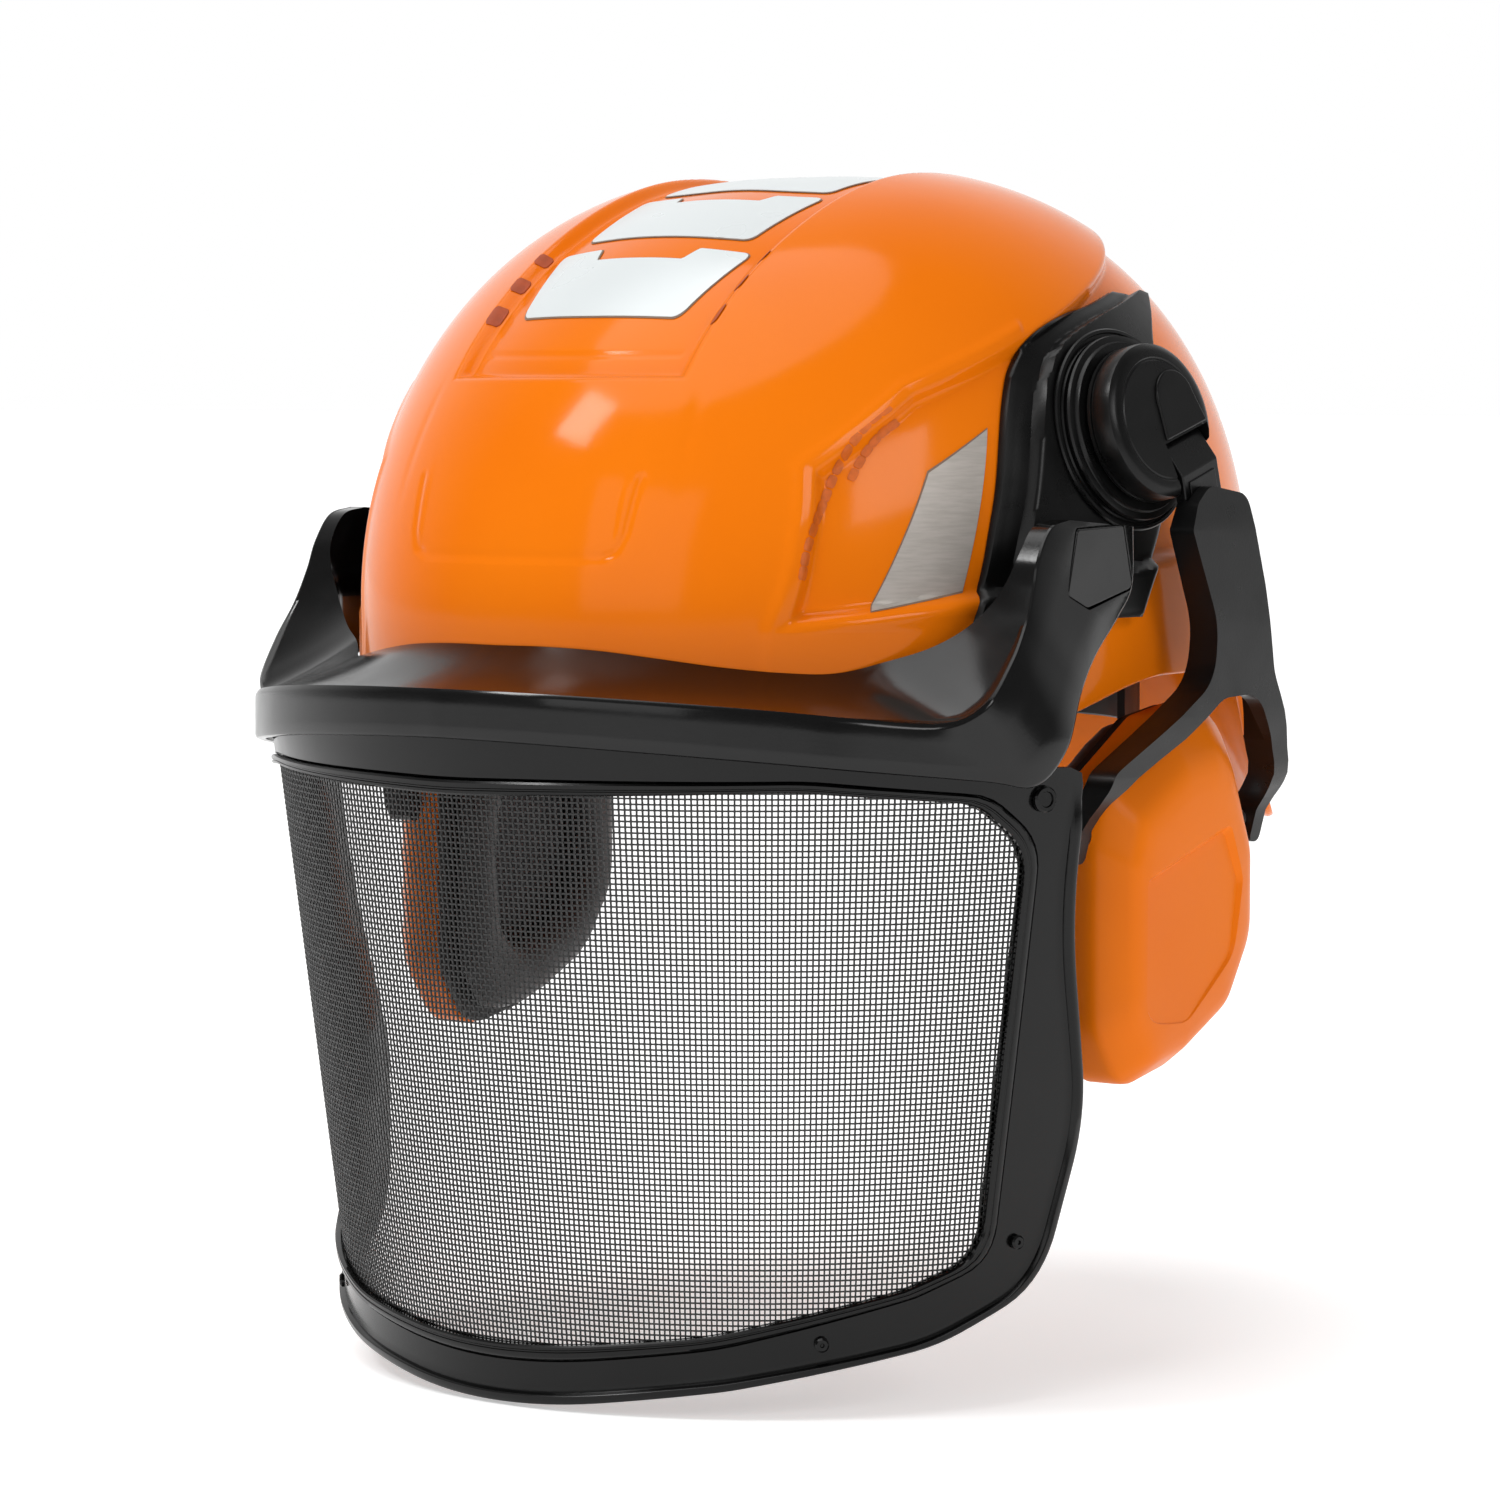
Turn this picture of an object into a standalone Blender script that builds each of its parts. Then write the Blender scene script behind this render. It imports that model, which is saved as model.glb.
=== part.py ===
"""A child's forestry helmet: ribbed shell, tilting mesh visor and two swinging ear muffs.

The frame is +Z up, the face looks along -Y and the wearer's left is +X. The origin is on the
helmet's middle plane, level with the front edge of the shell. Sizes are in millimetres, and
MM turns them into Blender's metres.
"""

import math

import bmesh
import bpy
from mathutils import Matrix, Vector

MM = 0.001
GAP = 0.3

# Shell: a rounded-oval dome on a short skirt, with raised wings either side of a centre trough.
SHELL_HALF_WIDTH = 96.0
SHELL_HALF_LENGTH = 120.0
SHELL_HEIGHT = 105.0
SHELL_CENTRE_Y = 3.0
SHELL_POWER = 2.1
SHELL_WALL = 2.5
SHELL_COLUMNS = 80
DOME_RINGS = 18
SKIRT_RINGS = 5
INNER_COLUMNS = 40
INNER_DOME_RINGS = 9
INNER_SKIRT_RINGS = 3
RIM_FRONT = -9.0
RIM_TEMPLE = -22.0
RIM_EAR = -12.0
RIM_NAPE = -52.0
NAPE_FLARE = 10.0
PANEL_STEP = 3.0
TROUGH_HALF_WIDTH = 30.0
STEP_WIDTH = 5.0
TROUGH_FRONT_Z = 53.5
WING_REAR_Y = 32.0

# Visor: a gently tapering cylinder of mesh hung from the peak.
VISOR_CENTRE_Y = -20.6
VISOR_RADIUS = 112.4
VISOR_TOP_Z = -20.0
VISOR_TAPER = 0.125
VISOR_UNROLL_RADIUS = 105.0
FRAME_THICKNESS = 2.6
FRAME_LIP = 1.6
FRAME_LIP_WIDTH = 2.6
MESH_THICKNESS = 0.6
MESH_OVERLAP = 2.0
RETAINER_WIDTH = 3.2
RETAINER_THICKNESS = 1.4
RABBET = RETAINER_WIDTH + 0.4
PEG_ARC = 128.0
PEG_Z = -36.2
PEAK_RADIUS = 118.0
PEAK_WALL = 2.4
PIVOT_Y = -35.0
PIVOT_Z = 13.0

# Muff hub: a turned disc whose axis leans up and forward with the side of the shell.
HUB_BASE = (94.0, -9.5, 43.5)
HUB_LEAN_UP = math.radians(12.0)
HUB_LEAN_FORWARD = math.radians(6.0)
HUB_RING_RADIUS = 21.0
HUB_DISC_RADIUS = 17.5
HUB_BACK = 3.4
HUB_FACE = 11.5

# Muff arm, yoke and cup, all for the wearer's left.
STRAP_INNER_X = 104.4
STRAP_OUTER_X = 107.2
STRAP_HALF_WIDTH = 7.5
STRAP_LENGTH = 50.0
SWING_PIN = (103.0, -2.0, 39.0)
SWING_PIN_RADIUS = 1.5
SLIDE_DIRECTION = (0.0, 0.29, -0.957)
CUP_PIVOT_X = 97.0
CUP_PIVOT_Z = -47.0
CUP_PIN_RADIUS = 2.2
CUP_PIN_ENDS = {"front": (-36.3, -29.4), "rear": (29.4, 37.9)}
CUP_BACK_X = 91.0
CUP_FACE_X = 108.5
CUSHION_INNER_X = 79.0

# Harness inside the shell.
HEAD_HALF_WIDTH = 69.0
HEAD_HALF_LENGTH = 87.0
BAND_WALL = 2.0
BAND_TOP_Z = 16.0
BAND_HEIGHT = 24.0


def clamp(value, low=0.0, high=1.0):
    return max(low, min(high, value))


def smooth(value, start, end):
    """0 at start, 1 at end, with a level tangent at both."""
    t = clamp((value - start) / (end - start))
    return t * t * (3.0 - 2.0 * t)


def mix(a, b, t):
    return a + (b - a) * t


def material(name, colour, roughness, metallic=0.0):
    made = bpy.data.materials.new(name)
    made.use_nodes = True
    shader = made.node_tree.nodes["Principled BSDF"]
    shader.inputs["Base Color"].default_value = (*colour, 1.0)
    shader.inputs["Roughness"].default_value = roughness
    shader.inputs["Metallic"].default_value = metallic
    return made


def make_object(name, bm, made_of, sharp_degrees=35.0):
    """A node from a bmesh in millimetres."""
    bmesh.ops.remove_doubles(bm, verts=bm.verts, dist=0.001)
    bmesh.ops.scale(bm, vec=(MM, MM, MM), verts=bm.verts)
    bmesh.ops.recalc_face_normals(bm, faces=bm.faces)
    mesh = bpy.data.meshes.new(name)
    bm.to_mesh(mesh)
    bm.free()
    mesh.shade_smooth()
    mesh.set_sharp_from_angle(angle=math.radians(sharp_degrees))
    mesh.materials.append(made_of)
    node = bpy.data.objects.new(name, mesh)
    bpy.context.collection.objects.link(node)
    return node


def mirrored(node, name):
    """The wearer's right twin of a left node."""
    mesh = node.data.copy()
    mesh.transform(Matrix.Scale(-1.0, 4, (1.0, 0.0, 0.0)))
    mesh.flip_normals()
    twin = bpy.data.objects.new(name, mesh)
    bpy.context.collection.objects.link(twin)
    return twin


def both_sides(name, bm, made_of):
    left = make_object(name + "_left", bm, made_of)
    return left, mirrored(left, name + "_right")


def loft(rings, closed_path=False):
    """A skin over rings of points. An open path gets a flat cap at each end."""
    bm = bmesh.new()
    rows = [[bm.verts.new(point) for point in ring] for ring in rings]
    count = len(rows[0])
    pairs = list(zip(rows, rows[1:]))
    if closed_path:
        pairs.append((rows[-1], rows[0]))
    for a, b in pairs:
        for i in range(count):
            j = (i + 1) % count
            bm.faces.new((a[i], a[j], b[j], b[i]))
    if not closed_path:
        bm.faces.new(rows[0])
        bm.faces.new(list(reversed(rows[-1])))
    return bm


def prism(outline, place, depth):
    """An outline of (u, v) points extruded by depth, put in place by place(u, v, w)."""
    bm = bmesh.new()
    near = [bm.verts.new(place(u, v, 0.0)) for u, v in outline]
    far = [bm.verts.new(place(u, v, depth)) for u, v in outline]
    bm.faces.new(near)
    bm.faces.new(list(reversed(far)))
    for i in range(len(outline)):
        j = (i + 1) % len(outline)
        bm.faces.new((near[i], near[j], far[j], far[i]))
    return bm


def turned(profile, frame, steps):
    """A solid of revolution about the frame's Z axis from (radius, height) points."""
    bm = bmesh.new()
    rows = []
    for radius, height in profile:
        if radius == 0.0:
            rows.append([bm.verts.new(frame @ Vector((0.0, 0.0, height)))])
            continue
        ring = []
        for k in range(steps):
            angle = math.tau * k / steps
            offset = Vector((radius * math.cos(angle), radius * math.sin(angle), height))
            ring.append(bm.verts.new(frame @ offset))
        rows.append(ring)
    for a, b in zip(rows, rows[1:]):
        for k in range(steps):
            m = (k + 1) % steps
            corners = (a[k % len(a)], a[m % len(a)], b[m % len(b)], b[k % len(b)])
            bm.faces.new(tuple(dict.fromkeys(corners)))
    return bm


def rounded(corners, steps=5):
    """A closed outline through (u, v, radius) corners, each turned with an arc."""
    outline = []
    count = len(corners)
    for i, (u, v, radius) in enumerate(corners):
        here = Vector((u, v))
        before = Vector(corners[i - 1][:2]) - here
        after = Vector(corners[(i + 1) % count][:2]) - here
        half = before.angle(after) / 2.0
        reach = min(radius / math.tan(half), 0.49 * before.length, 0.49 * after.length)
        start = here + before.normalized() * reach
        end = here + after.normalized() * reach
        for k in range(steps + 1):
            t = k / steps
            curve = (1 - t) ** 2 * start + 2 * t * (1 - t) * here + t * t * end
            outline.append((curve.x, curve.y))
    return outline


def axis_frame(origin, axis, upward=(0.0, 0.0, 1.0)):
    """A frame whose Z runs along axis and whose Y is as near upward as it can be."""
    z = Vector(axis).normalized()
    x = Vector(upward).cross(z).normalized()
    y = z.cross(x)
    frame = Matrix((x, y, z)).transposed().to_4x4()
    frame.translation = Vector(origin)
    return frame


def cut_with(node, cutter):
    """Cuts a hidden helper out of a node and applies the cut."""
    cutter.hide_render = True
    cutter.display_type = "WIRE"
    cut = node.modifiers.new("cut", "BOOLEAN")
    cut.operation = "DIFFERENCE"
    cut.solver = "EXACT"
    cut.object = cutter
    bpy.context.view_layer.update()
    graph = bpy.context.evaluated_depsgraph_get()
    mesh = bpy.data.meshes.new_from_object(node.evaluated_get(graph))
    node.modifiers.clear()
    node.data = mesh
    bpy.data.objects.remove(cutter)


# ---------------------------------------------------------------- shell

def oval(angle, half_width, half_length, centre_y, power):
    """A point of a rounded oval; angle 0 is the front and 90 degrees the wearer's left."""
    s, c = math.sin(angle), math.cos(angle)
    x = half_width * math.copysign(abs(s) ** (2.0 / power), s)
    y = centre_y - half_length * math.copysign(abs(c) ** (2.0 / power), c)
    return x, y


def rim_height(angle):
    """The lower edge of the shell: low at the temple, arched over the ear, deep at the nape."""
    turn = abs(math.degrees(math.atan2(math.sin(angle), math.cos(angle))))
    temple = mix(RIM_FRONT, RIM_TEMPLE, smooth(turn, 20.0, 60.0))
    ear = mix(temple, RIM_EAR, smooth(turn, 68.0, 92.0))
    return mix(ear, RIM_NAPE, smooth(turn, 112.0, 140.0))


def side_recess(y, z):
    """How far inside the sunk side panel a point lies, in millimetres."""
    front = (y + 92.1) * 0.97 - (z - 5.0) * 0.241
    upper = (y + 81.2) * 0.601 - (z - 37.9) * 0.799
    crown = (y + 63.6) * 0.373 - (z - 51.7) * 0.928
    lower = (z - 2.0) - (y + 84.0) * 0.12
    return min(front, upper, crown, lower)


def step_level(x, y, z):
    """1 on the raised wings, brow and lower band, 0 in the trough, side panels and rear."""
    beside_trough = smooth(abs(x), TROUGH_HALF_WIDTH, TROUGH_HALF_WIDTH + STEP_WIDTH)
    brow = 1.0 - smooth(z, TROUGH_FRONT_Z, TROUGH_FRONT_Z + STEP_WIDTH) if y < 0.0 else 0.0
    level = max(beside_trough, brow)
    level *= 1.0 - smooth(y, WING_REAR_Y, WING_REAR_Y + STEP_WIDTH)
    if abs(x) > TROUGH_HALF_WIDTH + STEP_WIDTH:
        level *= 1.0 - smooth(side_recess(y, z), 0.0, STEP_WIDTH)
    return level


def fullness(angle):
    """The power of the dome's upright section: round fore and aft, squarer over the ears."""
    return 2.0 + 0.7 * math.sin(angle) ** 4


def dome_point(angle, rise, inset=0.0):
    """A point of the dome: rise is 0 at the widest line and 90 degrees at the crown."""
    half_width = SHELL_HALF_WIDTH - inset
    half_length = SHELL_HALF_LENGTH - inset
    height = SHELL_HEIGHT - inset
    x, y = oval(angle, half_width, half_length, 0.0, SHELL_POWER)
    full = fullness(angle)
    out = max(0.0, math.cos(rise)) ** (2.0 / full)
    up = math.sin(rise) ** (2.0 / full)
    point = Vector((x * out, y * out, height * up))
    normal = Vector((x / half_width**2, y / half_length**2, 0.0)) * out ** (full - 1.0)
    normal.z = up ** (full - 1.0) / height
    normal.normalize()
    point.y += SHELL_CENTRE_Y
    point -= normal * PANEL_STEP * (1.0 - step_level(point.x, point.y, point.z))
    return point


def skirt_point(angle, depth, inset=0.0):
    """A point below the dome: depth is 0 at the widest line and 1 at the rim."""
    top = dome_point(angle, 0.0, inset)
    z = rim_height(angle) * depth
    back = smooth(math.degrees(abs(math.atan2(math.sin(angle), math.cos(angle)))), 105.0, 150.0)
    flare = NAPE_FLARE * back * (z / RIM_NAPE) ** 2
    outward = Vector((math.sin(angle), -math.cos(angle), 0.0))
    return Vector((top.x, top.y, z)) + outward * flare


def shell_rows(columns, dome_rings, skirt_rings, inset):
    """Rings of points from the rim up to just under the crown."""
    rows = []
    angles = [math.tau * k / columns for k in range(columns)]
    for j in range(skirt_rings, 0, -1):
        rows.append([skirt_point(a, j / skirt_rings, inset) for a in angles])
    for j in range(dome_rings):
        rise = math.radians(90.0) * j / dome_rings
        rows.append([dome_point(a, rise, inset) for a in angles])
    return rows


def build_shell(plastic):
    bm = bmesh.new()
    outer = [[bm.verts.new(p) for p in row]
             for row in shell_rows(SHELL_COLUMNS, DOME_RINGS, SKIRT_RINGS, 0.0)]
    inner = [[bm.verts.new(p) for p in row]
             for row in shell_rows(INNER_COLUMNS, INNER_DOME_RINGS, INNER_SKIRT_RINGS, SHELL_WALL)]
    outer_crown = bm.verts.new(dome_point(0.0, math.radians(90.0)))
    inner_crown = bm.verts.new(dome_point(0.0, math.radians(90.0), SHELL_WALL))
    for rows, crown in ((outer, outer_crown), (inner, inner_crown)):
        for a, b in zip(rows, rows[1:]):
            for i in range(len(a)):
                j = (i + 1) % len(a)
                bm.faces.new((a[i], a[j], b[j], b[i]))
        top = rows[-1]
        for i in range(len(top)):
            bm.faces.new((top[i], top[(i + 1) % len(top)], crown))
    ratio = SHELL_COLUMNS // INNER_COLUMNS
    rim, hem = outer[0], inner[0]
    for i in range(INNER_COLUMNS):
        m = (i + 1) % INNER_COLUMNS
        span = [rim[(i * ratio + k) % SHELL_COLUMNS] for k in range(ratio + 1)]
        bm.faces.new((hem[i], span[0], span[1]))
        bm.faces.new((hem[i], span[1], hem[m]))
        bm.faces.new((hem[m], span[1], span[2]))
    return make_object("shell", bm, plastic, 50.0)


def shell_envelope(grow):
    """The shell filled in and grown outward: cut from a neighbour, it leaves an even gap."""
    bm = bmesh.new()
    rows = [[bm.verts.new(p) for p in row]
            for row in shell_rows(SHELL_COLUMNS, DOME_RINGS, SKIRT_RINGS, -grow)]
    crown = bm.verts.new(dome_point(0.0, math.radians(90.0), -grow))
    for a, b in zip(rows, rows[1:]):
        for i in range(len(a)):
            j = (i + 1) % len(a)
            bm.faces.new((a[i], a[j], b[j], b[i]))
    for i in range(SHELL_COLUMNS):
        bm.faces.new((rows[-1][i], rows[-1][(i + 1) % SHELL_COLUMNS], crown))
    foot = bm.verts.new((0.0, SHELL_CENTRE_Y, rows[0][0].co.z))
    for i in range(SHELL_COLUMNS):
        bm.faces.new((rows[0][(i + 1) % SHELL_COLUMNS], rows[0][i], foot))
    return bm


def surface_drop(x, y, level):
    """The height of the dome over (x, y), lowered with the panels."""
    reach = (abs(x) / SHELL_HALF_WIDTH) ** SHELL_POWER
    reach += (abs(y - SHELL_CENTRE_Y) / SHELL_HALF_LENGTH) ** SHELL_POWER
    angle = math.atan2(
        math.copysign((abs(x) / SHELL_HALF_WIDTH) ** (SHELL_POWER / 2), x),
        math.copysign((abs(y - SHELL_CENTRE_Y) / SHELL_HALF_LENGTH) ** (SHELL_POWER / 2),
                      SHELL_CENTRE_Y - y),
    )
    rise = math.acos(min(1.0, reach ** (fullness(angle) / 2.0 / SHELL_POWER)))
    point = dome_point(angle, rise)
    lifted = dome_point(angle, rise, -level)
    return point, (lifted - point).normalized()


def conforming_plate(corners, lift, thickness, rows=5, columns=6):
    """A thin plate that follows the shell above a four-cornered (x, y) patch."""
    bottom, top = [], []
    for j in range(rows + 1):
        v = j / rows
        for i in range(columns + 1):
            u = i / columns
            a = Vector(corners[0]).lerp(Vector(corners[1]), u)
            b = Vector(corners[3]).lerp(Vector(corners[2]), u)
            spot = a.lerp(b, v)
            point, normal = surface_drop(spot.x, spot.y, 1.0)
            bottom.append(point + normal * lift)
            top.append(point + normal * (lift + thickness))
    return slab(bottom, top, columns + 1)


def slab(bottom, top, width):
    """A closed sheet from two equal grids of points, width points to a row."""
    bm = bmesh.new()
    low = [bm.verts.new(p) for p in bottom]
    high = [bm.verts.new(p) for p in top]
    rows = len(bottom) // width
    for j in range(rows - 1):
        for i in range(width - 1):
            k = j * width + i
            cell = (k, k + 1, k + 1 + width, k + width)
            bm.faces.new([high[n] for n in cell])
            bm.faces.new([low[n] for n in reversed(cell)])
    edge = list(range(width)) + [width - 1 + width * j for j in range(1, rows)]
    edge += [width * (rows - 1) + i for i in range(width - 2, -1, -1)]
    edge += [width * j for j in range(rows - 2, 0, -1)]
    for a, b in zip(edge, edge[1:] + edge[:1]):
        bm.faces.new((low[a], low[b], high[b], high[a]))
    return bm


def build_stickers(foil):
    lift, thickness = 0.35, 0.3
    patches = {
        "top_sticker_front": ((-23, -84.5), (23, -84.5), (27.5, -63), (-27.5, -63)),
        "top_sticker_middle": ((-24, -58), (24, -58), (26, -32.5), (-26, -32.5)),
        "top_sticker_rear": ((-25, -28), (25, -28), (25, 7), (-25, 7)),
    }
    for name, corners in patches.items():
        make_object(name, conforming_plate(corners, lift, thickness), foil)
    bm = side_patch(((-77.0, 4.5), (-58.5, 8.5), (-47.2, 43.0), (-62.2, 34.5)), 1.4, 0.4)
    both_sides("side_sticker", bm, foil)


def side_point(y, z, lift):
    """A point of the dome's left side at (y, z), moved out along the surface."""
    low, high = 0.0, SHELL_HALF_WIDTH
    long = (abs(y - SHELL_CENTRE_Y) / SHELL_HALF_LENGTH) ** SHELL_POWER
    for _ in range(30):
        x = (low + high) / 2.0
        wide = (x / SHELL_HALF_WIDTH) ** SHELL_POWER
        full = 2.0 + 0.7 * (wide / (wide + long)) ** 2
        size = (wide + long) ** (full / SHELL_POWER) + (z / SHELL_HEIGHT) ** full
        low, high = (x, high) if size < 1.0 else (low, x)
    point, normal = surface_drop(x, y, 1.0)
    return point + normal * lift


def side_patch(corners, lift, thickness, steps=6):
    bottom, top = [], []
    for j in range(steps + 1):
        for i in range(steps + 1):
            a = Vector(corners[0]).lerp(Vector(corners[1]), i / steps)
            b = Vector(corners[3]).lerp(Vector(corners[2]), i / steps)
            y, z = a.lerp(b, j / steps)
            bottom.append(side_point(y, z, lift))
            top.append(side_point(y, z, lift + thickness))
    return slab(bottom, top, steps + 1)


# ---------------------------------------------------------------- side mounts and hubs

def hub_frame():
    out = Vector((math.cos(HUB_LEAN_UP) * math.cos(HUB_LEAN_FORWARD),
                  -math.cos(HUB_LEAN_UP) * math.sin(HUB_LEAN_FORWARD),
                  math.sin(HUB_LEAN_UP)))
    return axis_frame(HUB_BASE, out)


def build_side_mounts(plastic):
    """A plate on each flank: the muff hub sits in its opening and the visor pivot below."""
    front_edge = [(-55.0, 2.0), (-49.5, 22.0), (-45.0, 37.0), (-40.2, 49.6), (-34.0, 59.6),
                  (-20.0, 68.2), (11.0, 75.6)]
    rear_edge = [(-10.0, 2.0), (-3.0, 14.0), (1.5, 24.0), (6.0, 37.0), (8.0, 49.0),
                 (11.0, 60.0), (22.0, 73.6)]
    steps = 6
    bottom, top = [], []
    for (y0, z0), (y1, z1) in zip(front_edge, rear_edge):
        for i in range(steps + 1):
            t = i / steps
            y, z = mix(y0, y1, t), mix(z0, z1, t)
            bottom.append(side_point(y, z, -3.0))
            top.append(side_point(y, z, 3.8))
    for mount in both_sides("side_mount", slab(bottom, top, steps + 1), plastic):
        cut_with(mount, make_object("envelope", shell_envelope(1.0), plastic))
        hole = turned([(0.0, -14.0), (21.4, -14.0), (21.4, 16.0), (0.0, 16.0)], hub_frame(), 48)
        if mount.name.endswith("right"):
            for vert in hole.verts:
                vert.co.x = -vert.co.x
            bmesh.ops.reverse_faces(hole, faces=hole.faces)
        cut_with(mount, make_object("hole", hole, plastic))


def build_hubs(plastic, steel):
    frame = hub_frame()
    ring = [(0.0, -0.6), (HUB_RING_RADIUS, -0.6), (HUB_RING_RADIUS, 2.2), (19.2, 2.2),
            (19.2, HUB_BACK), (0.0, HUB_BACK)]
    both_sides("hub_base", turned(ring, frame, 32), plastic)
    disc = [(0.0, HUB_BACK + GAP), (HUB_DISC_RADIUS, HUB_BACK + GAP),
            (HUB_DISC_RADIUS, HUB_FACE - 2.0), (HUB_DISC_RADIUS - 1.6, HUB_FACE),
            (0.0, HUB_FACE)]
    left = make_object("hub_disc_left", turned(disc, frame, 32), plastic)
    slot_half = STRAP_HALF_WIDTH + 1.2
    slot = prism([(-slot_half, -30.0), (slot_half, -30.0), (slot_half, 4.2), (-slot_half, 4.2)],
                 in_strap_frame, 14.0)
    cut_with(left, make_object("slot", slot, plastic))
    mirrored(left, "hub_disc_right")
    across = strap_frame().col[0].to_3d()
    half = STRAP_HALF_WIDTH + 0.8
    pin = turned([(0.0, -half), (SWING_PIN_RADIUS, -half), (SWING_PIN_RADIUS, half), (0.0, half)],
                 axis_frame(SWING_PIN, across), 12)
    both_sides("swing_pin", pin, steel)


def strap_frame():
    """Origin on the swing pin, X along the pin, Y up along the strap, Z outward."""
    up = -Vector(SLIDE_DIRECTION).normalized()
    out = Vector((1.0, 0.0, 0.0))
    frame = Matrix((up.cross(out), up, out)).transposed().to_4x4()
    frame.translation = Vector(SWING_PIN)
    return frame


def in_strap_frame(u, v, w):
    return strap_frame() @ Vector((u, v, w - 3.6))


def build_strap(plastic):
    """The flat muff arm: a knuckle on the swing pin and a blade that runs into the yoke."""
    knuckle = SWING_PIN_RADIUS + 1.6
    inner = STRAP_INNER_X - SWING_PIN[0]
    outer = STRAP_OUTER_X - SWING_PIN[0]
    side = [(knuckle * math.cos(a), knuckle * math.sin(a))
            for a in [math.radians(70.0 - 28.0 * k) for k in range(8)]]
    side += [(-7.0, inner), (-STRAP_LENGTH, inner), (-STRAP_LENGTH, outer), (-4.0, outer)]
    frame = strap_frame()
    strap = prism(side, lambda v, w, u: frame @ Vector((u - STRAP_HALF_WIDTH, v, w)),
                  2.0 * STRAP_HALF_WIDTH)
    left = make_object("muff_arm_left", strap, plastic)
    bore_radius = SWING_PIN_RADIUS + GAP
    bore = turned([(0.0, -12.0), (bore_radius, -12.0), (bore_radius, 12.0), (0.0, 12.0)],
                  axis_frame(SWING_PIN, frame.col[0].to_3d()), 12)
    cut_with(left, make_object("bore", bore, plastic))
    mirrored(left, "muff_arm_right")


def ramp(value, points):
    """The piecewise-linear height of a list of (place, height) points at value."""
    for (a, height_a), (b, height_b) in zip(points, points[1:]):
        if value <= b:
            return mix(height_a, height_b, clamp((value - a) / (b - a)))
    return points[-1][1]


def build_yoke(plastic):
    """A sleeve on the arm that forks into two legs, which bow inward to the cup's pivots."""
    outline = rounded([
        (-12.0, 22.5, 3.0), (-2.0, 31.0, 8.0), (13.5, 28.8, 5.0), (20.0, 8.0, 30.0),
        (24.5, -12.0, 8.0), (32.0, -25.0, 12.0), (39.5, -40.0, 8.0), (39.5, -52.5, 3.0),
        (35.3, -52.5, 2.0), (35.3, -42.0, 5.0), (26.0, -27.0, 10.0), (17.0, -16.5, 8.0),
        (3.0, -17.0, 8.0), (-11.0, -25.5, 12.0), (-29.0, -34.0, 8.0), (-34.0, -39.0, 3.0),
        (-34.0, -52.5, 2.0), (-38.0, -52.5, 3.0), (-38.0, -32.5, 4.0), (-14.0, -20.0, 14.0),
        (-1.0, -13.0, 10.0), (-0.5, 0.0, 20.0)], 3)
    bm = prism(outline, lambda y, z, w: Vector((w, y, z)), 1.0)
    for cut_z in (20.0, 8.0, -4.0, -10.0, -16.0, -22.0, -28.0, -34.0, -40.0, -46.0):
        bmesh.ops.bisect_plane(bm, geom=bm.verts[:] + bm.edges[:] + bm.faces[:],
                               plane_co=(0.0, 0.0, cut_z), plane_no=(0.0, 0.0, 1.0))
    outer = [(-53.0, 100.0), (-46.0, 101.5), (-34.0, 110.0), (-20.0, 113.0), (0.0, 113.6),
             (20.0, 113.2), (31.0, 112.2)]
    inner = [(-53.0, 93.6), (-46.0, 93.6), (-34.0, 104.0), (-20.0, 107.0), (-10.0, 102.4),
             (31.0, 102.2)]
    for vert in bm.verts:
        vert.co.x = ramp(vert.co.z, outer if vert.co.x > 0.5 else inner)
    left = make_object("yoke_left", bm, plastic)
    half = STRAP_HALF_WIDTH + GAP
    frame = strap_frame()
    low = STRAP_INNER_X - GAP - SWING_PIN[0]
    depth = STRAP_OUTER_X - STRAP_INNER_X + 2.0 * GAP
    channel = prism([(-half, -90.0), (half, -90.0), (half, 10.0), (-half, 10.0)],
                    lambda u, v, w: frame @ Vector((u, v, low + w)), depth)
    cut_with(left, make_object("channel", channel, plastic))
    cut_with(left, make_object("hole", cup_pin(CUP_PIN_RADIUS + GAP, -36.6, 38.2), plastic))
    mirrored(left, "yoke_right")


def cup_pin(radius, near, far):
    """A round bar on the cup's tilt axis between two places along it."""
    profile = [(0.0, near), (radius, near), (radius, far), (0.0, far)]
    return turned(profile, axis_frame((CUP_PIVOT_X, 0.0, CUP_PIVOT_Z), (0.0, 1.0, 0.0)), 12)


CUP_OUTLINE = [(14.0, -18.8, 8.0), (-3.5, -21.5, 8.0), (-27.0, -35.2, 8.0),
               (-31.0, -48.0, 10.0), (-30.8, -90.0, 14.0), (-21.0, -104.5, 9.0),
               (-3.0, -101.0, 16.0), (19.0, -90.5, 14.0), (31.0, -72.0, 18.0),
               (31.0, -48.0, 16.0), (21.0, -24.0, 8.0)]


def cup_ring(x, inset, face=0.0):
    """The cup's outline at a depth, drawn in by inset; face slides it down to the flat face."""
    points = rounded(CUP_OUTLINE, 4)
    ring = []
    for y, z in points:
        centre = Vector((-1.0, -61.0 - 3.0 * face))
        away = Vector((y, z)) - Vector((-1.0, -61.0))
        place = centre + away * (1.0 - inset / 37.0)
        ring.append(Vector((x, place.x, place.y)))
    return ring


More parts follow.
